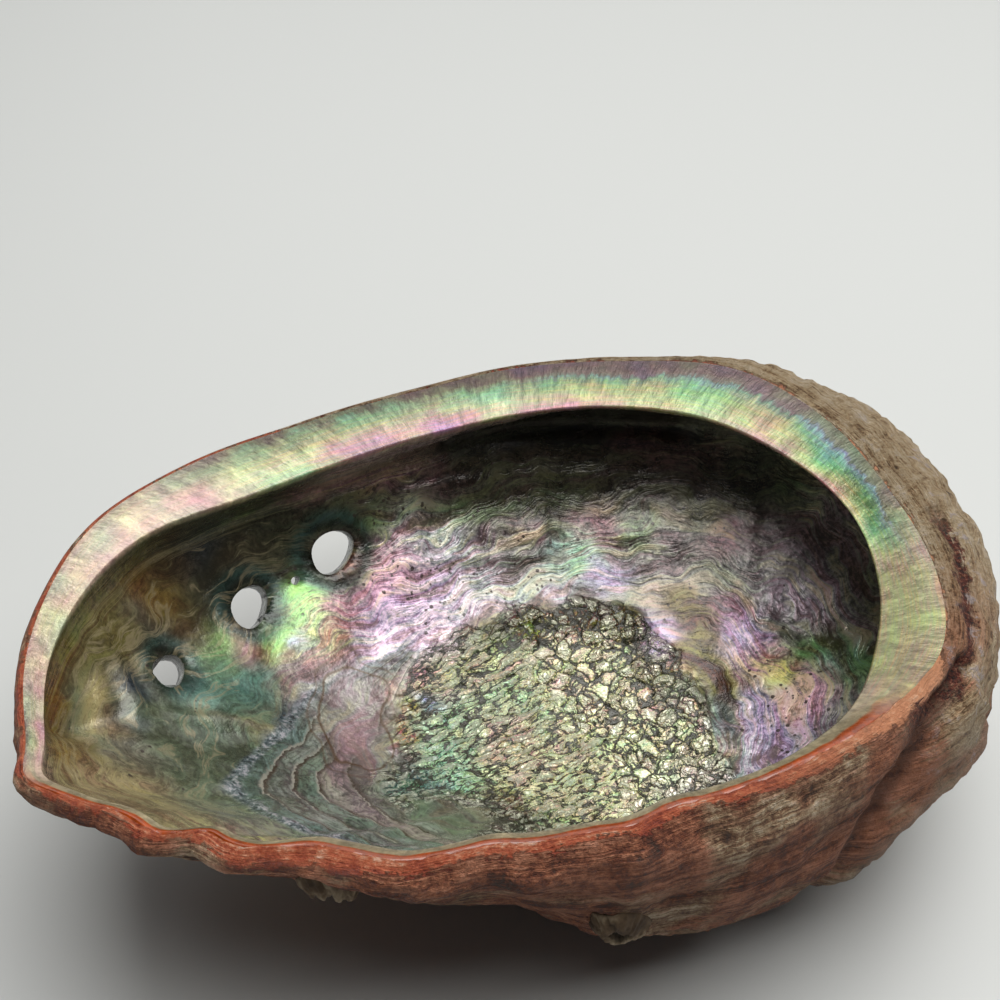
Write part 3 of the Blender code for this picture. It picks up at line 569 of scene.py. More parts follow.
def outer_relief(points, degrees, years, rim):
    """Seams of the spire, the ridge of holes, growth bands and flaking crust."""
    whorls_in, reach, away, near = spire_place(points)
    depth = np.minimum(SUTURE_DEPTH, 0.10 * reach)
    swell = np.where(whorls_in < 0, 0.9 * depth * np.sin(np.pi * np.mod(whorls_in, 1)), 0)
    rise = np.where(near, swell - depth * bump(away, 1.5 + 0.05 * reach), 0)
    height, on_row = row_height(degrees)
    ridge = ROW_RIDGE * bump(points[:, 2] - height, 5.0)
    radius = np.hypot(points[:, 0], points[:, 1])
    for old in OLD_HOLES:
        along = np.radians(np.mod(degrees - old + 180, 360) - 180) * radius
        spot = np.hypot(along, points[:, 2] - height)
        ridge += 1.5 * bump(spot, 4.5) - 1.6 * bump(spot, 2.0)
    for centre, _, length, _ in HOLES[:3]:
        ridge += HOLE_RIM * bump(distance_to(points, centre) - 0.6 * length, 2.5)
    rise += on_row * ridge
    rise += 0.9 * lumps(points, 18, 1) + 0.5 * lumps(points, 8, 2)
    uneven = 0.03 * lumps(points, 28, 3)
    bands = np.stack([points[:, 0] * 0.4, points[:, 1] * 0.4, (years + uneven) * 90], axis=1)
    spiky = smooth(points[:, 0] + 0.4 * points[:, 1], 45, 70)
    rise += (1 - 0.6 * spiky) * (0.6 * lumps(bands, 7, 4) + 0.4 * lumps(bands, 2.6, 5))
    border, cell = flakes(bands * np.array([0.30, 0.30, 0.24]) + 0.5 * lumps(points, 5, 6)[:, None])
    rise += 0.9 * (1 - 0.5 * spiky) * (cell[:, 0] - 0.5) * smooth(border, 0, 0.2)
    rise += spiky * (0.8 * abs(lumps(points, 5, 7)) + 0.7 * lumps(points, 2.4, 8))
    rise += 0.35 * lumps(points, 3.2, 26)
    end = smooth(degrees, 326, 338) + 1 - smooth(degrees, 8, 16)
    rise -= 1.4 * np.clip(end, 0, 1) * bump(rim - 5 - lumps(points, 6, 9), 1.8)
    lip = smooth(degrees, 196, 206) * (1 - smooth(degrees, 336, 346))
    scaly = lip * bump(rim, 5) * (0.7 * lumps(points, 3.4, 51) + 0.4 * lumps(points, 1.5, 52))
    return rise * smooth(rim, 0.5, 6) + scaly


def shore_distance(points):
    """How far outside the muscle scar's edge each point lies; negative in the scar."""
    x, y = points[:, 0] - SCAR_CENTRE[0], points[:, 1] - SCAR_CENTRE[1]
    angles, reaches = np.array(SCAR_REACH, float).T
    edge = ring_spline(np.radians(angles), reaches, np.arctan2(y, x)) + 1.5 * lumps(points, 5, 21)
    return np.hypot(x, y) - edge


def scar_places(points):
    """Coordinates whose cells of size 1 are the scar's long flakes, and its round pebbles."""
    turned = math.radians(38)
    along = points[:, 0] * math.cos(turned) + points[:, 1] * math.sin(turned)
    across = points[:, 1] * math.cos(turned) - points[:, 0] * math.sin(turned)
    curl = [1.5 * lumps(points, 5, seed) + 0.8 * lumps(points, 2.4, seed + 5) for seed in (33, 34, 35)]
    long_place = np.stack([(along + curl[0]) * 0.16, (across + 0.6 * curl[1]) * 0.60, points[:, 2] * 0.2],
                          axis=1)
    round_place = (points + 0.9 * np.stack(curl, axis=1)) * 0.30
    return long_place, round_place


def scar_relief(points, long_place, round_place):
    """Flakes and pebbles of the scar with narrow gaps and crumbs between them, and where they are round."""
    long_border, long_cell = flakes(long_place)
    round_border, round_cell = flakes(round_place)
    roundness = smooth(points[:, 0] + 0.5 * points[:, 1] + 6 * lumps(points, 10, 9), 4, 16)
    flake = (0.2 + 0.6 * long_cell[:, 0]) * smooth(long_border, 0.0, 0.14)
    pebble = (0.2 + 0.9 * round_cell[:, 1]) * smooth(round_border, 0.0, 0.24)
    return flake * (1 - roundness) + pebble * roundness, roundness


def flatness(points):
    """1 on the smooth patches beside and in the scar, and 0 away from them."""
    return np.maximum(plateau_share(points), 0.8 * bump(distance_to(points, SMOOTH_PART), 9))


def plateau_share(points):
    """1 in the middle of the smooth patch beside the scar, and less towards its uneven edge."""
    return bump(distance_to(points + 3 * lumps(points, 7, 25)[:, None], PLATEAU), 7.5)


def inner_relief(points, degrees, shore, pebbles):
    """The raised and pebbly scar, ledges beside it, the channel under the holes, folds and swellings."""
    scar = smooth(-shore, -1.4, 1.4)
    rise = scar * (SCAR_RISE - 0.5 + (1 - flatness(points)) * pebbles + 0.5 * lumps(points, 8, 10))
    ledges, ledged = ledge_place(points)
    steps = np.mod(ledges, 1)
    rise += LEDGE_RISE * ledged * (ledges < LEDGES) * (smooth(steps, 0.0, 0.15) - steps)
    rise += 0.5 * ledged * bump(ledges - LEDGES, 0.3) * (0.5 + lumps(points, 2.0, 24))
    for centre, width, form_rise in INNER_FORMS + FOLDS:
        rise += form_rise * bump(distance_to(points, centre), width)
    height, on_row = row_height(degrees)
    rise -= on_row * 0.8 * bump(points[:, 2] - height - 3, 5.0)
    rough = (1 - scar) * smooth(lumps(points, 22, 13), -0.4, 0.3)
    rise += (1 - scar) * (0.5 * lumps(points, 16, 11) + 0.3 * lumps(points, 6, 12))
    return rise + 0.22 * rough * lumps(points, 2.2, 14)


def ledge_place(points):
    """Which ledge beside the scar each point is on, counted from the scar, and 1 where there are ledges."""
    x, y = points[:, 0] - SCAR_CENTRE[0], points[:, 1] - SCAR_CENTRE[1]
    turn = np.degrees(np.arctan2(y, x)) % 360
    angles, reaches = np.array(SCAR_REACH, float).T
    inner = ring_spline(np.radians(angles), reaches, np.radians(turn))
    outer = np.interp(turn, *np.array(LEDGE_REACH, float).T)
    across = (np.hypot(x, y) - inner) / np.maximum(outer - inner, 4)
    across += 0.08 * lumps(points, 10, 22) + 0.03 * lumps(points, 3, 23)
    side = smooth(turn, 143, 152) * (1 - smooth(turn, 266, 292))
    return across * LEDGES, side * smooth(across, 0.0, 0.05) * (1 - plateau_share(points))


def blend_finishes(points, base):
    """Nacre's colour at each point: the patches over a base colour, with uneven borders."""
    drift = np.stack([lumps(points, 9, seed) for seed in (14, 15, 16)], axis=1) * 2.2
    fine = np.stack([lumps(points, 3, seed) for seed in (17, 18, 19)], axis=1) * 1.8
    spots = points + drift + fine
    total = np.full(len(points), 0.35)
    colour = base * 0.35
    for finish, centre, reach, strength in PATCHES:
        weight = strength * bump(distance_to(spots, centre), reach)
        total += weight
        colour = colour + weight[:, None] * np.array(FINISHES[finish])
    colour = colour / total[:, None]
    for centre, _, length, _ in HOLES[:3]:
        away = distance_to(points, centre) - length / 2
        above = smooth(points[:, 2] - centre[2], -1, 3)
        teal_ring = bump(away - 2.6, 1.3) * 0.75
        black_ring = bump(away - 1.2, 2.0 + 1.5 * above) * 0.8
        for finish, share in (("teal", teal_ring), ("black", black_ring)):
            colour = colour + share[:, None] * (np.array(FINISHES[finish]) - colour)
    return colour


def shelf_colour(points, degrees):
    """Colour of the shelf's pale head end and of its beige end at the spire, and how far its bands show."""
    head = (smooth(degrees, 142, 168) * (1 - smooth(degrees, 196, 206)))[:, None]
    rosy = smooth(lumps(points, 6, 43), -0.5, 0.5)[:, None]
    silvery = np.array([0.92, 0.68, 0.54]) * rosy + np.array([0.66, 0.64, 0.50]) * (1 - rosy)
    beige = (smooth(degrees, 322, 340) + 1 - smooth(degrees + 4 * lumps(points, 4, 45), 0, 20))[:, None]
    beige = np.clip(beige + 0.5 * lumps(points, 5, 44)[:, None] * beige * (1 - beige), 0, 1)
    plain = silvery * (1 - beige) + np.array([0.46, 0.38, 0.23]) * beige
    return plain, np.clip(1 - 0.75 * head - beige, 0, 1)[:, 0]


def nacre_colour(points, degrees, profile):
    """Colour of everything from the margin inwards, how far the shelf's bands show, and where the lip is."""
    base = np.tile(np.array(FINISHES["sea_grey"]), (len(points), 1))
    inside = blend_finishes(points, base)
    lip_side = (smooth(degrees, 204, 212) * (1 - smooth(degrees, 325, 340)))[:, None]
    top, banded = shelf_colour(points, degrees)
    lip_top = np.array([0.36, 0.30, 0.20]) * (1 + 0.3 * lumps(points, 3, 44)[:, None])
    ragged = profile + 0.12 * lumps(points, 2.5, 46) + 0.12 * lumps(points, 7, 47)
    over = 1 - smooth(ragged, 2.34, 2.50)[:, None]
    lip_top = lip_top * (1 - over) + np.array(RED_LAYER) * over
    top = top * (1 - lip_side) + lip_top * lip_side
    fade = smooth(profile, 3.02, 3.22)[:, None] * (1 - lip_side)
    fade = fade + smooth(profile, 2.7, 3.7)[:, None] * lip_side
    on_top = (1 - fade)[:, 0]
    return top * (1 - fade) + inside * fade, banded * on_top * (1 - lip_side[:, 0]), lip_side[:, 0] * on_top


def settled(points):
    """From the loft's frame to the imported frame: the worn bottom on the ground, the middle at the origin."""
    moved = points - np.array([LOFT_CENTRE[0], LOFT_CENTRE[1], WORN_DEPTH])
    moved[:, 2] = np.maximum(moved[:, 2], 0)
    low, high = (np.array(corner) for corner in CAD_BOX)
    return np.clip(moved * MM, low, high)


def store(bm, name, values):
    """Keeps a number for each vertex, for the materials to read."""
    layer = bm.verts.layers.float.new(name)
    for vert, value in zip(bm.verts, values):
        vert[layer] = float(value)


def punch_hole(bm, centre, out, length, width):
    """Opens an oval hole through the wall, its long side along the row, and closes its sides."""
    out = Vector(out).normalized()
    along = Vector((-centre[1], centre[0], 0)).cross(out).cross(out).normalized()
    across = out.cross(along)
    middle = (Vector(centre) - Vector((*LOFT_CENTRE, WORN_DEPTH))) * MM

    def oval(vert):
        q = vert.co - middle
        u, v = q.dot(along) / (length / 2 * MM), q.dot(across) / (width / 2 * MM)
        angle = math.atan2(v, u)
        edge = 1 + 0.06 * math.sin(2 * angle + length) + 0.05 * math.sin(3 * angle + width)
        return u, v, abs(q.dot(out)), edge

    inside = []
    for vert in bm.verts:
        u, v, depth, edge = oval(vert)
        if depth < 12 * MM and math.hypot(u, v) < edge:
            inside.append(vert)
    bmesh.ops.delete(bm, geom=inside, context="VERTS")
    border = [e for e in bm.edges if e.is_boundary]
    for vert in {v for e in border for v in e.verts}:
        u, v, _, edge = oval(vert)
        scale = edge / math.hypot(u, v)
        vert.co += along * u * (scale - 1) * length / 2 * MM + across * v * (scale - 1) * width / 2 * MM
    bridge = bmesh.ops.bridge_loops(bm, edges=border)
    for face in bridge["faces"]:
        face.material_index = REGIONS.index("bowl")
        face.smooth = True


def build_shell_mesh(grid):
    """The shell's mesh, with the fields that its materials read."""
    bm, phi, row = box_grid(grid)
    points, profile = loft(phi, row)
    degrees = np.degrees(phi)
    margin = sum(ROWS[:2])
    at_rim = row == margin
    rim_phi = phi[at_rim]
    order = np.argsort(rim_phi)
    rim_points = points[at_rim][order]
    nearest = np.stack(
        [np.interp(phi, rim_phi[order], rim_points[:, i], period=2 * np.pi) for i in range(3)], axis=1)
    rim = np.linalg.norm(points - nearest, axis=1)
    by_rim = 1 - smooth(rim, 30, 75)
    years = growth_place(points, rim_points) * (1 - by_rim) - 0.012 * rim * by_rim
    for vert, point in zip(bm.verts, points):
        vert.co = point
    bm.normal_update()
    normals = np.array([v.normal for v in bm.verts])
    outside = profile <= 2
    inside = profile >= 3
    rise, shore, roundness = (np.zeros(len(points)) for _ in range(3))
    shore[:] = 90.0
    long_place, round_place = scar_places(points)
    rise[outside] = outer_relief(points[outside], degrees[outside], years[outside], rim[outside])
    shore[inside] = shore_distance(points[inside])
    pebbles = np.zeros(len(points))
    floor = inside & (shore < 4)
    pebbles[floor], roundness[floor] = scar_relief(points[floor], long_place[floor], round_place[floor])
    rise[inside] = inner_relief(points[inside], degrees[inside], shore[inside], pebbles[inside])
    rise[inside] *= smooth(profile[inside], 3.0, 3.4)
    colour = np.ones((len(points), 3))
    pits, ledges, ledged, banded, lip = (np.zeros(len(points)) for _ in range(5))
    within = profile >= 2
    colour[within], banded[within], lip[within] = nacre_colour(
        points[within], degrees[within], profile[within])
    for centre, reach in PITTED:
        pits = np.maximum(pits, bump(distance_to(points, centre), reach))
    ledges[inside], ledged[inside] = ledge_place(points[inside])
    smoothness, plateau = flatness(points) * inside, plateau_share(points) * inside
    band = np.clip(profile - 2, 0, 1) - np.interp(degrees, *np.array(BAND_SHIFT, float).T)
    band += 0.07 * lumps(points, 11, 41) + 0.06 * lumps(points, 4, 42)
    spireward = 1 - smooth(degrees, 78, 100)
    red_angles, red_widths = np.array(RED_WIDTH, float).T
    red_width = np.interp(degrees, red_angles, red_widths, left=0, right=0)
    for vert, point in zip(bm.verts, settled(points + normals * rise[:, None])):
        vert.co = point
    for name, values in (("profile", profile), ("years", years), ("rim", rim), ("shore", shore),
                         ("roundness", roundness), ("pits", pits), ("height", rise), ("red", red_width),
                         ("ledges", ledges), ("ledged", ledged), ("smoothness", smoothness),
                         ("plateau", plateau), ("band", band), ("banded", banded), ("spireward", spireward),
                         ("lip", lip)):
        store(bm, name, values)
    for name, values in (("pearl", colour), ("long_place", long_place), ("round_place", round_place)):
        layer = bm.verts.layers.float_vector.new(name)
        for vert, value in zip(bm.verts, values.tolist()):
            vert[layer] = value
    bm.verts.index_update()
    scarred = (shore < 4) | (ledged > 0)
    for face in bm.faces:
        around = [v.index for v in face.verts]
        top = max(profile[around])
        inner = "scar" if any(scarred[around]) else "bowl"
        region = "crust" if top <= 2.001 else "shelf" if top < 3.75 else inner
        face.material_index = REGIONS.index(region)
        face.smooth = True
    for hole in HOLES:
        punch_hole(bm, *hole)
    mesh = bpy.data.meshes.new("abalone_shell")
    bm.to_mesh(mesh)
    bm.free()
    return mesh


class Graph:
    """Short calls that add shader nodes to a material."""

    def __init__(self, name):
        self.material = bpy.data.materials.new(name)
        self.material.use_nodes = True
        self.tree = self.material.node_tree
        self.shader = self.tree.nodes["Principled BSDF"]

    def node(self, kind, inputs=(), **settings):
        made = self.tree.nodes.new("ShaderNode" + kind)
        for name, value in settings.items():
            setattr(made, name, value)
        for key, value in dict(inputs).items():
            self.set(made.inputs[key], value)
        return made

    def set(self, socket, value):
        if isinstance(value, bpy.types.NodeSocket):
            self.tree.links.new(value, socket)
        else:
            socket.default_value = value

    def field(self, name):
        return self.node("Attribute", attribute_name=name).outputs["Fac"]

    def vector_field(self, name):
        return self.node("Attribute", attribute_name=name).outputs["Vector"]

    def place(self):
        return self.node("TexCoord").outputs["Object"]

    def parts(self, vector):
        return self.node("SeparateXYZ", {0: vector}).outputs

    def vector(self, x, y, z):
        return self.node("CombineXYZ", {0: x, 1: y, 2: z}).outputs[0]

    def stretched(self, x, y, scale, field, field_scale):
        """A place for a pattern with one scale over X and Y, and another over a field in place of Z."""
        return self.vector(self.times(x, scale), self.times(y, scale), self.times(field, field_scale))

    def scaled(self, vector, factors):
        return self.node("Mapping", {"Vector": vector, "Scale": factors}).outputs[0]

    def sum(self, a, b, operation="ADD"):
        return self.node("Math", {0: a, 1: b}, operation=operation).outputs[0]

    def times(self, a, b):
        return self.sum(a, b, "MULTIPLY")

    def total(self, *shares):
        """Adds up values, each times its share."""
        whole = self.times(*shares[0])
        for value, share in shares[1:]:
            whole = self.node("Math", {0: value, 1: share, 2: whole}, operation="MULTIPLY_ADD").outputs[0]
        return whole

    def less(self, value):
        return self.sum(1.0, value, "SUBTRACT")

    def fraction(self, value):
        return self.node("Math", {0: value}, operation="FRACT").outputs[0]

    def off(self, value, middle):
        """How far a value is from a middle one."""
        return self.node("Math", {0: self.sum(value, -middle)}, operation="ABSOLUTE").outputs[0]

    def between(self, share, a, b):
        return self.node("Mix", {0: share, 2: a, 3: b}).outputs[0]

    def span(self, value, low, high, to_low=0.0, to_high=1.0):
        inputs = {"Value": value, "From Min": low, "From Max": high, "To Min": to_low, "To Max": to_high}
        return self.node("MapRange", inputs, interpolation_type="SMOOTHSTEP").outputs[0]

    def noise(self, vector, scale, detail, roughness):
        inputs = {"Vector": vector, "Scale": scale, "Detail": detail, "Roughness": roughness}
        return self.node("TexNoise", inputs).outputs[0]

    def cells(self, vector, scale, feature="F1"):
        return self.node("TexVoronoi", {"Vector": vector, "Scale": scale}, feature=feature)

    def gap(self, cells, vector, scale):
        """About how far a point is from its cell's border, by its distances from the two nearest middles."""
        second = self.cells(vector, scale, "F2").outputs["Distance"]
        return self.total((second, 0.5), (cells.outputs["Distance"], -0.5))

    def ramp(self, value, stops, interpolation="LINEAR"):
        made = self.node("ValToRGB", {0: value})
        ramp = made.color_ramp
        ramp.interpolation = interpolation
        while len(ramp.elements) < len(stops):
            ramp.elements.new(0.5)
        for element, (at, colour) in zip(ramp.elements, stops):
            element.position = at
            element.color = (*colour, 1)
        return made.outputs[0]

    def mix(self, share, a, b, blend="MIX"):
        made = self.node("Mix", {0: share}, data_type="RGBA", blend_type=blend)
        for index, value in ((6, a), (7, b)):
            if isinstance(value, tuple):
                value = (*value, 1)
            self.set(made.inputs[index], value)
        return made.outputs[2]

    def shifted(self, colour, hue, saturation, value):
        inputs = {"Hue": hue, "Saturation": saturation, "Value": value, "Color": colour}
        return self.node("HueSaturation", inputs).outputs[0]

    def bump(self, height, strength, distance):
        return self.node("Bump", {"Height": height, "Strength": strength, "Distance": distance}).outputs[0]

    def finish(self, **sockets):
        for name, value in sockets.items():
            self.set(self.shader.inputs[name.replace("_", " ")], value)
        return self.material


LEDGE_TREADS = ((0.0, (0.20, 0.22, 0.16)), (0.2, (0.28, 0.21, 0.19)), (0.4, (0.13, 0.19, 0.13)),
                (0.6, (0.20, 0.22, 0.19)), (0.8, (0.12, 0.19, 0.16)))
SEAM_TONES = ((0.38, (0.03, 0.04, 0.05)), (0.50, (0.14, 0.18, 0.19)), (0.62, (0.46, 0.44, 0.48)))
PEARL_PLAY = ((0.0, (0.80, 0.42, 0.46)), (0.18, (0.62, 0.40, 0.66)), (0.36, (0.30, 0.48, 0.66)),
              (0.52, (0.22, 0.56, 0.46)), (0.68, (0.46, 0.68, 0.28)), (0.84, (0.80, 0.62, 0.30)),
              (1.0, (0.84, 0.46, 0.40)))
CRUST_BROWNS = ((0.0, (0.045, 0.018, 0.008)), (0.22, (0.14, 0.060, 0.028)), (0.42, (0.28, 0.150, 0.078)),
                (0.60, (0.46, 0.31, 0.18)), (0.80, (0.64, 0.50, 0.34)), (1.0, (0.80, 0.70, 0.55)))
CRUST_GREYS = ((0.0, (0.060, 0.028, 0.010)), (0.16, (0.22, 0.120, 0.050)), (0.34, (0.44, 0.300, 0.160)),
               (0.58, (0.56, 0.42, 0.26)), (0.85, (0.66, 0.53, 0.37)), (1.0, (0.80, 0.68, 0.56)))
LIP_REDS = ((0.0, (0.16, 0.022, 0.010)), (0.35, (0.38, 0.075, 0.030)), (0.62, (0.50, 0.135, 0.058)),
            (0.82, (0.62, 0.26, 0.15)), (1.0, (0.78, 0.52, 0.40)))
SCAB_TONES = ((0.40, (0.025, 0.008, 0.005)), (0.56, (0.16, 0.030, 0.015)), (0.68, (0.42, 0.20, 0.12)))
CHALK_TONES = ((0.34, (0.05, 0.028, 0.014)), (0.52, (0.14, 0.090, 0.050)), (0.70, (0.38, 0.30, 0.20)))


def nacre_material(name, region):
    """Layered nacre whose colours drift in wavy streaks, with pits and what its region adds."""
    g = Graph(name)
    place = g.place()
    x, y, _ = g.parts(place)
    profile = g.field("profile")
    wander = g.noise(place, 60.0, 2.0, 0.6)
    level = g.total((wander, 0.22), (profile, 1.0))
    streaks = g.noise(g.stretched(x, y, 42.0, level, 27.0), 1.0, 4.0, 0.66)
    threads = g.noise(g.stretched(x, y, 140.0, level, 130.0), 1.0, 2.0, 0.7)
    clouds = g.noise(place, 120.0, 3.0, 0.68)
    grain = g.noise(place, 900.0, 3.0, 0.75)
    height = g.total((clouds, 0.00038), (grain, 0.00013))
    if region == "bowl":
        height = g.total((streaks, 0.0006), (height, 1.0))
    overlap = g.fraction(g.times(streaks, 17.0))
    step = g.times(g.span(overlap, 0.0, 0.9, -0.02, 0.03), g.span(overlap, 1.0, 0.94))
    light = g.total((streaks, 0.34), (threads, 0.16), (clouds, 0.22), (grain, 0.28),
                    (step, g.span(wander, 0.45, 0.60)))
    value = g.span(light, 0.42, 0.59, 0.24, 1.40)
    dull = g.span(g.total((x, 1.0), (wander, 0.02)), -0.030, -0.050)
    vivid = g.span(dull, 0.0, 1.0, 1.0, 0.35)
    drift = g.times(vivid, g.sum(g.total((streaks, 0.44), (threads, 0.10)), -0.27))
    pearl = g.vector_field("pearl")
    bare = 1.0
    if region == "shelf":
        bare = g.less(g.field("lip"))
        pearl, fibres = shelf_bands(g, x, y, profile, clouds)
        banded = g.field("banded")
        drift = g.times(bare, g.total((g.sum(wander, -0.5), g.span(banded, 0.0, 1.0, 0.15, 0.75)),
                                      (g.sum(clouds, -0.5), 0.25)))
        calm = g.times(g.total((clouds, 0.5), (grain, 0.5)), g.span(fibres, 0.3, 0.7, 0.95, 1.70))
        value = g.between(g.span(profile, 3.4, 3.1), value, calm)
        height = g.total((fibres, g.times(bare, 0.0006)), (clouds, 0.00015), (grain, 0.00006))
    if region != "shelf":
        smoothness = g.sum(g.field("smoothness"), g.times(dull, 0.6), "MAXIMUM")
        value = g.between(g.times(smoothness, 0.75), value, g.span(light, 0.38, 0.62, 0.80, 1.2))
    hue = g.sum(0.5, drift)
    drifting = g.shifted(pearl, hue, 1.15, value)
    play = g.ramp(g.fraction(g.total((streaks, 4.0), (clouds, 0.8))), PEARL_PLAY)
    lit = g.node("SeparateColor", {0: pearl}, mode="HSV").outputs[2]
    shine = g.times(g.times(bare, vivid), g.span(lit, 0.05, 0.7, 0.12, 0.36))
    colour = g.mix(shine, drifting, g.mix(1.0, drifting, play, "OVERLAY"))
    smear = g.times(g.span(g.off(streaks, 0.56), 0.0, 0.045, 0.45, 0.0), dull)
    colour = g.mix(g.times(smear, g.span(profile, 3.1, 3.4)), colour, (0.40, 0.32, 0.20))
    contour = g.times(g.times(g.span(g.off(g.fraction(g.times(streaks, 16.0)), 0.5), 0.38, 0.5),
                              g.span(wander, 0.52, 0.62)), g.span(profile, 3.1, 3.4))
    colour = g.mix(g.times(contour, 0.4), colour, g.mix(1.0, colour, (0.22, 0.18, 0.13), "MULTIPLY"))
    if region == "scar":
        pebbly = scar_share(g, clouds, grain)
        colour = ledge_colours(g, colour, pebbly, hue, value, clouds, grain)
        colour, scar_height = scar_colours(g, place, colour, pearl, pebbly, play, clouds)
        height = g.sum(height, scar_height)
    if region != "shelf":
        colour = pitted(g, place, colour, clouds, grain)
    return g.finish(
        Base_Color=colour,
        Metallic=g.times(bare, g.span(lit, 0.1, 0.8, 0.30, 0.15)),
        Roughness=g.span(clouds, 0.3, 0.7, 0.18, 0.32),
        Normal=g.bump(height, 1.0, 1.0),
        Coat_Weight=0.5 if region == "shelf" else 0.25,
        Coat_Roughness=0.2,
        IOR=1.6,
    )


def shelf_bands(g, x, y, profile, clouds):
    """The shelf's bands of colour, with ragged fibres across them, over the other colours."""
    towards = g.parts(g.node("VectorMath", {0: g.vector(x, y, 0.0)}, operation="NORMALIZE").outputs[0])
    fibres = g.noise(g.stretched(towards[0], towards[1], 48.0, profile, 2.2), 1.0, 4.0, 0.7)
    band = g.sum(g.total((fibres, 0.42), (clouds, 0.25), (g.field("band"), 1.0)), -0.335)
    bands = g.mix(g.field("spireward"), g.ramp(band, HEAD_BANDS), g.ramp(band, SPIRE_BANDS))
    return g.mix(g.field("banded"), g.vector_field("pearl"), bands), fibres


def pitted(g, place, colour, clouds, grain):
    """Small dark pits in clusters, and a few brown rings."""
    cells = g.cells(place, 1050.0)
    number = g.parts(cells.outputs["Color"])
    edge = g.total((g.times(number[0], number[0]), -0.46), (grain, 0.5), (cells.outputs["Distance"], 1.0))
    chosen = g.sum(g.total((clouds, 1.6), (g.field("pits"), 1.0)), number[1], "SUBTRACT")
    pit = g.times(g.span(edge, 0.31, 0.19), g.span(chosen, 0.8, 0.92))
    rings = g.cells(place, 210.0)
    number = g.parts(rings.outputs["Color"])
    ring = g.off(g.total((number[0], -0.30), (grain, 0.20), (rings.outputs["Distance"], 1.0)), 0.10)
    few = g.span(g.sum(g.field("pits"), number[1], "SUBTRACT"), 0.35, 0.5)
    ringed = g.times(g.span(ring, 0.05, 0.0), few)
    colour = g.mix(g.times(ringed, 0.5), colour, (0.12, 0.07, 0.035))
    return g.mix(g.times(pit, 0.9), colour, (0.05, 0.035, 0.03))


def scar_share(g, clouds, grain):
    """1 where the muscle scar's pebbles and flakes are."""
    ragged = g.total((clouds, 3.0), (grain, 1.5), (g.field("shore"), 1.0))
    flat = g.total((clouds, 0.8), (g.field("smoothness"), 1.0))
    return g.times(g.span(ragged, 2.75, 1.75), g.span(flat, 0.9, 0.6))


def ledge_colours(g, colour, pebbly, hue, value, clouds, grain):
    """Treads, brown edges and thin lines of the ledges, and the crumbly seam round them."""
    ledges = g.sum(g.total((grain, 0.35), (g.field("ledges"), 1.0)), -0.175)
    ledged = g.times(g.field("ledged"), g.less(pebbly))
    within = g.times(ledged, g.span(ledges, 5.05, 4.95))
    treads = g.ramp(g.times(ledges, 0.2), LEDGE_TREADS, "CONSTANT")
    treads = g.shifted(treads, hue, 0.9, value)
    colour = g.mix(g.times(within, 0.8), colour, treads)
    step = g.fraction(ledges)
    dark_line = g.times(g.times(within, g.span(step, 0.74, 0.93)), g.span(clouds, 0.40, 0.55, 0.65, 1.0))
    pale_line = g.times(g.times(within, g.span(step, 0.16, 0.05)), g.span(clouds, 0.60, 0.45, 0.3, 0.9))
    thin_line = g.times(g.times(within, g.span(g.fraction(g.times(ledges, 4.0)), 0.7, 0.97)),
                        g.span(clouds, 0.42, 0.56, 0.2, 0.85))
    colour = g.mix(thin_line, colour, (0.05, 0.055, 0.035))
    colour = g.mix(pale_line, colour, (0.36, 0.34, 0.28))
    colour = g.mix(dark_line, colour, (0.050, 0.034, 0.018))
    seam = g.times(ledged, g.times(g.span(ledges, 4.6, 4.9), g.span(ledges, 5.5, 5.1)))
    colour = g.mix(g.times(seam, 0.85), colour, g.ramp(grain, SEAM_TONES))
    plateau = g.total((clouds, 0.12), (grain, 0.05), (g.field("plateau"), 1.0))
    outline = g.sum(g.span(g.off(plateau, 0.55), 0.0, 0.06, 0.9, 0.0),
                    g.span(g.off(plateau, 0.35), 0.0, 0.04, 0.6, 0.0))
    return g.mix(g.times(outline, g.less(pebbly)), colour, (0.085, 0.045, 0.018))


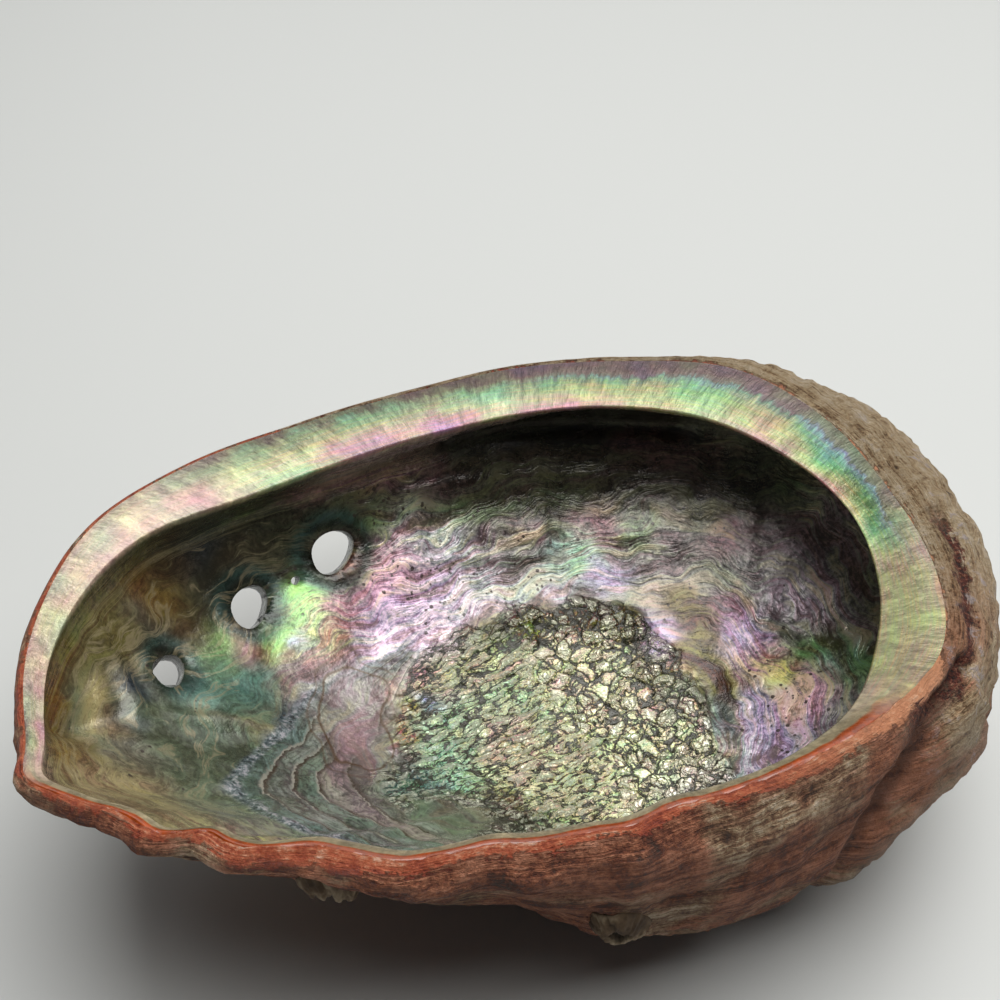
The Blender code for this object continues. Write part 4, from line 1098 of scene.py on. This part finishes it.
def scar_colours(g, place, colour, pearl, pebbly, play, clouds):
    """Long flakes that turn into round pebbles, with painted highlights on their brightest tops and painted
    shade between them, and their fine height.
    """
    crinkle = {"Vector": place, "Scale": 700.0, "Detail": 2.0, "Roughness": 0.65}
    crinkle = g.node("TexNoise", crinkle).outputs["Color"]
    nudge = g.node("VectorMath", {0: crinkle, 1: (-0.5, -0.5, -0.5)}, operation="ADD").outputs[0]
    long_place, round_place = (
        g.node("VectorMath", {0: g.vector_field(name), 1: g.scaled(nudge, (share, share, share))},
               operation="ADD").outputs[0] for name, share in (("long_place", 0.45), ("round_place", 0.50)))
    flake_cells = g.cells(long_place, 1.0)
    flake_gap = g.gap(flake_cells, long_place, 1.0)
    flake_number = g.parts(flake_cells.outputs["Color"])
    fibre = g.noise(long_place, 2.2, 3.0, 0.7)
    crumbs = g.noise(place, 520.0, 3.0, 0.7)
    round_cells = g.cells(round_place, 1.0)
    number = g.parts(round_cells.outputs["Color"])
    gap = g.gap(round_cells, round_place, 1.0)
    small_cells = g.cells(round_place, 2.3)
    small_number = g.parts(small_cells.outputs["Color"])
    small_gap = g.gap(small_cells, round_place, 2.3)
    slivers = g.span(g.off(g.fraction(g.times(fibre, 9.0)), 0.5), 0.30, 0.48, 1.0, 0.45)
    flake = g.times(g.span(fibre, 0.38, 0.60, 0.35, 1.75), g.span(flake_number[0], 0.0, 1.0, 0.40, 1.75))
    # Darker towards each cell's border: painted shade in the gaps and on the sides of flakes and pebbles, over
    # each cell's own random tone.
    flake = g.times(g.times(g.span(flake_gap, 0.0, 0.09, 0.10, 1.0), slivers), flake)
    stone = g.times(g.span(gap, 0.0, 0.15, 0.06, 1.25), g.span(number[1], 0.0, 1.0, 0.55, 1.7))
    split = g.times(g.span(small_gap, 0.0, 0.11, 0.18, 1.1), g.span(small_number[1], 0.0, 1.0, 0.40, 1.7))
    stones = g.times(stone, g.between(g.span(number[2], 0.30, 0.40), 1.0, split))
    roundness = g.field("roundness")
    # Tone of the flakes and pebbles, with their painted shade, and the brightness that becomes painted
    # highlights.
    scar_tone_and_painted_light = g.times(g.between(roundness, g.times(flake, 0.85), stones),
                         g.span(crumbs, 0.38, 0.58, 0.35, 1.6))
    tint = g.between(roundness, flake_number[1], number[0])
    hue = g.total((fibre, 0.50), (clouds, 0.42), (tint, 0.08))
    tops = g.shifted(pearl, hue, g.span(crumbs, 0.3, 0.7, 1.0, 1.5), g.times(scar_tone_and_painted_light, 2.6))
    tops = g.mix(0.30, tops, g.mix(1.0, tops, play, "OVERLAY"))
    # Near-black where the tone is lowest: painted shade in the gaps.
    tops = g.mix(g.span(scar_tone_and_painted_light, 0.04, 0.40), (0.030, 0.027, 0.014), tops)
    # Near-white where the tone is highest: painted highlights on the tops.
    tops = g.mix(g.span(scar_tone_and_painted_light, 0.6, 1.3, 0.0, 0.9), tops, (0.97, 0.98, 0.80))
    flake_tilt = tilted(g, long_place, flake_cells, (0.0039, 0.0013, 0.0), flake_number[2])
    stone_tilt = tilted(g, round_place, round_cells, (0.0, 0.0033, 0.0), number[0])
    tilt = g.between(roundness, flake_tilt, stone_tilt)
    height = g.times(pebbly, g.total((scar_tone_and_painted_light, 0.00045), (crumbs, 0.00016), (tilt, 1.0)))
    return g.mix(pebbly, colour, tops), height


def tilted(g, place, cells, towards, number):
    """Height of a face that rises within its cell towards the shelf, each at a slope of its own."""
    run = g.node("VectorMath", {0: place, 1: cells.outputs["Position"]}, operation="SUBTRACT").outputs[0]
    run = g.node("VectorMath", {0: run, 1: towards}, operation="DOT_PRODUCT").outputs["Value"]
    return g.times(run, g.span(number, 0.0, 1.0, 0.08, 0.42))


def crust_material():
    """Grown and worn outer crust in brown bands, paler on its ridges by wear and painted highlight and darker
    in its grooves by painted shade, with the coral-red layer bare along the rim.
    """
    g = Graph("crust")
    place = g.place()
    x, y, _ = g.parts(place)
    rim = g.field("rim")
    blots = g.noise(place, 60.0, 2.0, 0.7)
    patchy = g.noise(place, 210.0, 4.0, 0.75)
    grain = g.noise(place, 1100.0, 3.0, 0.75)
    years = g.total((blots, 0.020), (patchy, 0.010), (g.field("years"), 1.0))
    years = g.sum(years, -0.015)
    bands = g.noise(g.stretched(x, y, 20.0, years, 34.0), 1.0, 3.0, 0.72)
    lines = g.noise(g.stretched(x, y, 110.0, years, 210.0), 1.0, 4.0, 0.8)
    tone = g.span(g.total((bands, 0.24), (lines, 0.30), (patchy, 0.26), (grain, 0.20)), 0.37, 0.63)
    spire_side = g.span(g.total((x, 1.0), (y, 0.9), (blots, 0.08)), 0.035, 0.085)
    colour = g.mix(spire_side, g.ramp(tone, CRUST_BROWNS), g.ramp(tone, CRUST_GREYS))
    maroon = g.times(g.span(g.total((blots, 1.0), (lines, 0.5)), 0.60, 0.78), g.span(y, 0.01, -0.03))
    colour = g.mix(g.times(maroon, 0.8), colour, g.mix(1.0, colour, (0.80, 0.30, 0.20), "MULTIPLY"))
    height = g.field("height")
    # Raised crust is paler, as wear and as painted highlight; grooves and seams below it are darkened by
    # painted shade.
    colour = g.mix(g.span(height, 0.4, 2.4, 0.0, 0.4), colour, (0.50, 0.42, 0.32))
    colour = g.mix(g.span(height, -0.5, -2.2, 0.0, 0.65), colour, (0.050, 0.014, 0.008))
    lilac = g.times(g.span(patchy, 0.58, 0.68, 0.0, 0.7), g.span(x, 0.055, 0.075))
    colour = g.mix(lilac, colour, (0.50, 0.42, 0.44))
    colour = g.mix(g.span(patchy, 0.40, 0.28, 0.0, 0.6), colour, (0.04, 0.025, 0.015))
    scab = g.span(g.off(g.total((rim, 1.0), (patchy, 9.0), (lines, 4.0)), 11.5), 0.6, 2.2, 1.0, 0.0)
    scab = g.times(g.times(scab, g.span(x, 0.050, 0.056)), g.span(g.off(y, -0.012), 0.030, 0.020))
    colour = g.mix(scab, colour, g.ramp(grain, SCAB_TONES))
    ragged = g.total((lines, 3.5), (patchy, 6.0), (rim, 1.0))
    red_share = g.span(g.sum(g.field("red"), ragged, "SUBTRACT"), -5.05, -4.45)
    red_tone = g.span(g.total((lines, 0.35), (patchy, 0.45), (grain, 0.2)), 0.36, 0.64)
    reds = g.mix(g.span(x, 0.025, 0.07, 0.0, 0.60), g.ramp(red_tone, LIP_REDS), (0.72, 0.38, 0.20))
    colour = g.mix(red_share, colour, reds)
    height = g.times(g.total((bands, 0.0014), (lines, 0.0022), (patchy, 0.0036), (grain, 0.0006)),
                     g.span(red_share, 0.0, 1.0, 1.0, 0.35))
    bumps = g.bump(height, 1.0, 1.0)
    roughness = g.sum(g.span(grain, 0.3, 0.7, 0.60, 0.95), g.times(red_share, -0.25))
    return g.finish(Base_Color=colour, Roughness=roughness, Normal=bumps)


def barnacle_material():
    """Chalky plates in mottled tones, with painted shade darkening the crater."""
    g = Graph("barnacle_plate")
    place = g.place()
    grain = g.noise(place, 800.0, 6.0, 0.65)
    stain = g.noise(place, 180.0, 4.0, 0.6)
    # dark into the crater: painted shade
    colour = g.mix(g.field("depth"), g.ramp(stain, CHALK_TONES), (0.025, 0.018, 0.012))
    bumps = g.bump(grain, 0.5, 0.0006)
    return g.finish(Base_Color=colour, Roughness=0.85, Normal=bumps)


def floor_material(tone):
    """A pale board with faint scratches and a few specks of grit."""
    g = Graph("floor")
    place = g.place()
    haze = g.noise(place, 3.0, 1.0, 0.5)
    colour = g.mix(g.span(haze, 0.3, 0.7, 0.0, 0.06), tuple(tone), (0.62, 0.62, 0.60))
    specks = g.cells(place, 34.0)
    chosen = g.span(g.parts(specks.outputs["Color"])[0], 0.93, 0.94)
    spot = g.times(g.span(specks.outputs["Distance"], 0.018, 0.035, 1.0, 0.0), chosen)
    colour = g.mix(spot, colour, (0.06, 0.05, 0.04))
    return g.finish(Base_Color=colour, Roughness=0.45)


def barnacle_mesh(name, place, radius, height, tree):
    """A ribbed cone of plates with a crater marked for painted shade, its foot following the crust."""
    angle, level = math.radians(place[0]), place[1] - WORN_DEPTH
    aim = Vector((-math.cos(angle), -math.sin(angle), 0))
    start = Vector((-LOFT_CENTRE[0], -LOFT_CENTRE[1], level)) - aim * 150
    point, out, _, _ = tree.ray_cast(start * MM, aim)
    side = out.cross(Vector((0, 0, 1))).normalized()
    turn = Matrix((side, out.cross(side), out)).transposed()
    bm = bmesh.new()
    rings = len(BARNACLE_SIDE) - 1
    bmesh.ops.create_uvsphere(bm, u_segments=96, v_segments=rings, radius=1)
    depth = bm.verts.layers.float.new("depth")
    for vert in bm.verts:
        ring = round(math.acos(max(-1, min(1, -vert.co.z))) / math.pi * rings)
        around = math.atan2(vert.co.y, vert.co.x)
        share, rise = BARNACLE_SIDE[ring]
        plates = abs(math.sin(3 * around + 0.4)) ** 0.3
        rib = 1 + 0.05 * math.cos(24 * around) * min(1, rise * 3) - 0.10 * (1 - plates)
        rib += 0.08 * math.sin(2 * around + radius)
        local = Vector((math.cos(around) * share * rib, math.sin(around) * share * rib, 0)) * radius
        foot = point + turn @ local * MM
        near, normal, _, _ = tree.find_nearest(foot)
        uneven = (0.35 * noise.noise(local * 0.6) + 0.15 * noise.noise(local * 1.7)) * min(1, rise * 2)
        vert.co = near + turn @ Vector((0, 0, (rise + uneven) * height)) * MM
        # how far into the crater: where the plates' material paints shade
        vert[depth] = max(0.0, min(1.0, (ring - 8) / 3)) if ring < 12 else 0.75
    bmesh.ops.recalc_face_normals(bm, faces=bm.faces)
    mesh = bpy.data.meshes.new(name)
    bm.to_mesh(mesh)
    bm.free()
    mesh.shade_smooth()
    return mesh


def add_object(name, mesh):
    made = bpy.data.objects.new(name, mesh)
    bpy.context.scene.collection.objects.link(made)
    return made


def area_light(name, place, size, power, colour):
    light = bpy.data.lights.new(name, "AREA")
    light.shape = "RECTANGLE"
    light.size, light.size_y = size
    light.energy = power
    light.color = colour
    lamp = add_object(name, light)
    lamp.location = place
    lamp.rotation_euler = (Vector(LIGHTS_AIM) - Vector(place)).to_track_quat("-Z", "Y").to_euler()


class ShellSettings(bpy.types.PropertyGroup):
    grid: IntProperty(name="Grid", description="Cells along a side of the box that becomes the shell",
                      default=108, min=24, max=140)


class StageSettings(bpy.types.PropertyGroup):
    floor_tone: FloatVectorProperty(name="Floor tone", description="Colour of the board under the shell",
                                    subtype="COLOR", default=(0.61, 0.62, 0.61))
    window_power: FloatProperty(name="Window", description="Power of the large light behind", default=3.1,
                                min=0, unit="POWER")
    ceiling_power: FloatProperty(name="Ceiling", description="Power of the wide light above", default=16.0,
                                 min=0, unit="POWER")
    sky_strength: FloatProperty(name="Sky", description="Strength of the even light from all round",
                                default=0.045, min=0)


class ABALONE_OT_shell(bpy.types.Operator):
    """Builds the shell with its nacre, scar, holes, crust and red lip"""

    bl_idname = "abalone.shell"
    bl_label = "Shell"

    def execute(self, context):
        mesh = build_shell_mesh(context.scene.abalone_shell.grid)
        mesh.materials.append(crust_material())
        for region in REGIONS[1:]:
            mesh.materials.append(nacre_material(region + "_nacre", region))
        shell = add_object("abalone_shell", mesh)
        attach(shell, "root")
        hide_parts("shell")
        return {"FINISHED"}


class ABALONE_OT_barnacles(bpy.types.Operator):
    """Grows the barnacles on the crust"""

    bl_idname = "abalone.barnacles"
    bl_label = "Barnacles"

    def execute(self, context):
        shell = bpy.data.objects["abalone_shell"]
        bm = bmesh.new()
        bm.from_mesh(shell.data)
        tree = BVHTree.FromBMesh(bm)
        bm.free()
        plate = barnacle_material()
        for name, (place, radius, height) in BARNACLES.items():
            grown = add_object(name + "_grown", barnacle_mesh(name + "_grown", place, radius, height, tree))
            grown.data.materials.append(plate)
            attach(grown, "root")
            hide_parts(name)
        return {"FINISHED"}


class ABALONE_OT_stage(bpy.types.Operator):
    """Sets the floor, the lights and the camera"""

    bl_idname = "abalone.stage"
    bl_label = "Stage"

    def execute(self, context):
        settings = context.scene.abalone_stage
        bm = bmesh.new()
        bmesh.ops.create_grid(bm, x_segments=1, y_segments=1, size=4)
        mesh = bpy.data.meshes.new("floor")
        bm.to_mesh(mesh)
        bm.free()
        floor = add_object("floor", mesh)
        floor.data.materials.append(floor_material(settings.floor_tone))
        world = bpy.data.worlds.new("studio")
        world.use_nodes = True
        sky = world.node_tree.nodes["Background"]
        sky.inputs["Color"].default_value = (0.93, 0.97, 1.0, 1)
        sky.inputs["Strength"].default_value = settings.sky_strength
        context.scene.world = world
        area_light("window", *WINDOW, settings.window_power, (1.0, 0.99, 0.97))
        area_light("ceiling", *CEILING, settings.ceiling_power, (1.0, 1.0, 0.98))
        camera = add_object("camera", bpy.data.cameras.new("camera"))
        camera.data.lens = CAMERA_LENS
        camera.data.sensor_width = 36
        camera.data.clip_start = 0.01
        camera.location = Vector(CAMERA_PLACE) * MM
        camera.rotation_euler = (math.radians(CAMERA_PITCH), 0, 0)
        context.scene.camera = camera
        context.scene.view_settings.view_transform = "Standard"
        return {"FINISHED"}


class ABALONE_PT_panel(bpy.types.Panel):
    bl_idname = "ABALONE_PT_panel"
    bl_label = "Abalone Shell"
    bl_space_type = "VIEW_3D"
    bl_region_type = "UI"
    bl_category = "Abalone"

    def draw(self, context):
        column = self.layout.column()
        column.prop(context.scene.abalone_shell, "grid")
        for name in ("floor_tone", "window_power", "ceiling_power", "sky_strength"):
            column.prop(context.scene.abalone_stage, name)
        for step in (ABALONE_OT_shell, ABALONE_OT_barnacles, ABALONE_OT_stage):
            column.operator(step.bl_idname)


CLASSES = (ShellSettings, StageSettings, ABALONE_OT_shell, ABALONE_OT_barnacles, ABALONE_OT_stage,
           ABALONE_PT_panel)


def register():
    for made in CLASSES:
        bpy.utils.register_class(made)
    bpy.types.Scene.abalone_shell = PointerProperty(type=ShellSettings)
    bpy.types.Scene.abalone_stage = PointerProperty(type=StageSettings)


def unregister():
    del bpy.types.Scene.abalone_shell
    del bpy.types.Scene.abalone_stage
    for made in reversed(CLASSES):
        bpy.utils.unregister_class(made)


def main():
    register()
    bpy.ops.abalone.shell()
    bpy.ops.abalone.barnacles()
    bpy.ops.abalone.stage()


if __name__ == "__main__":
    main()
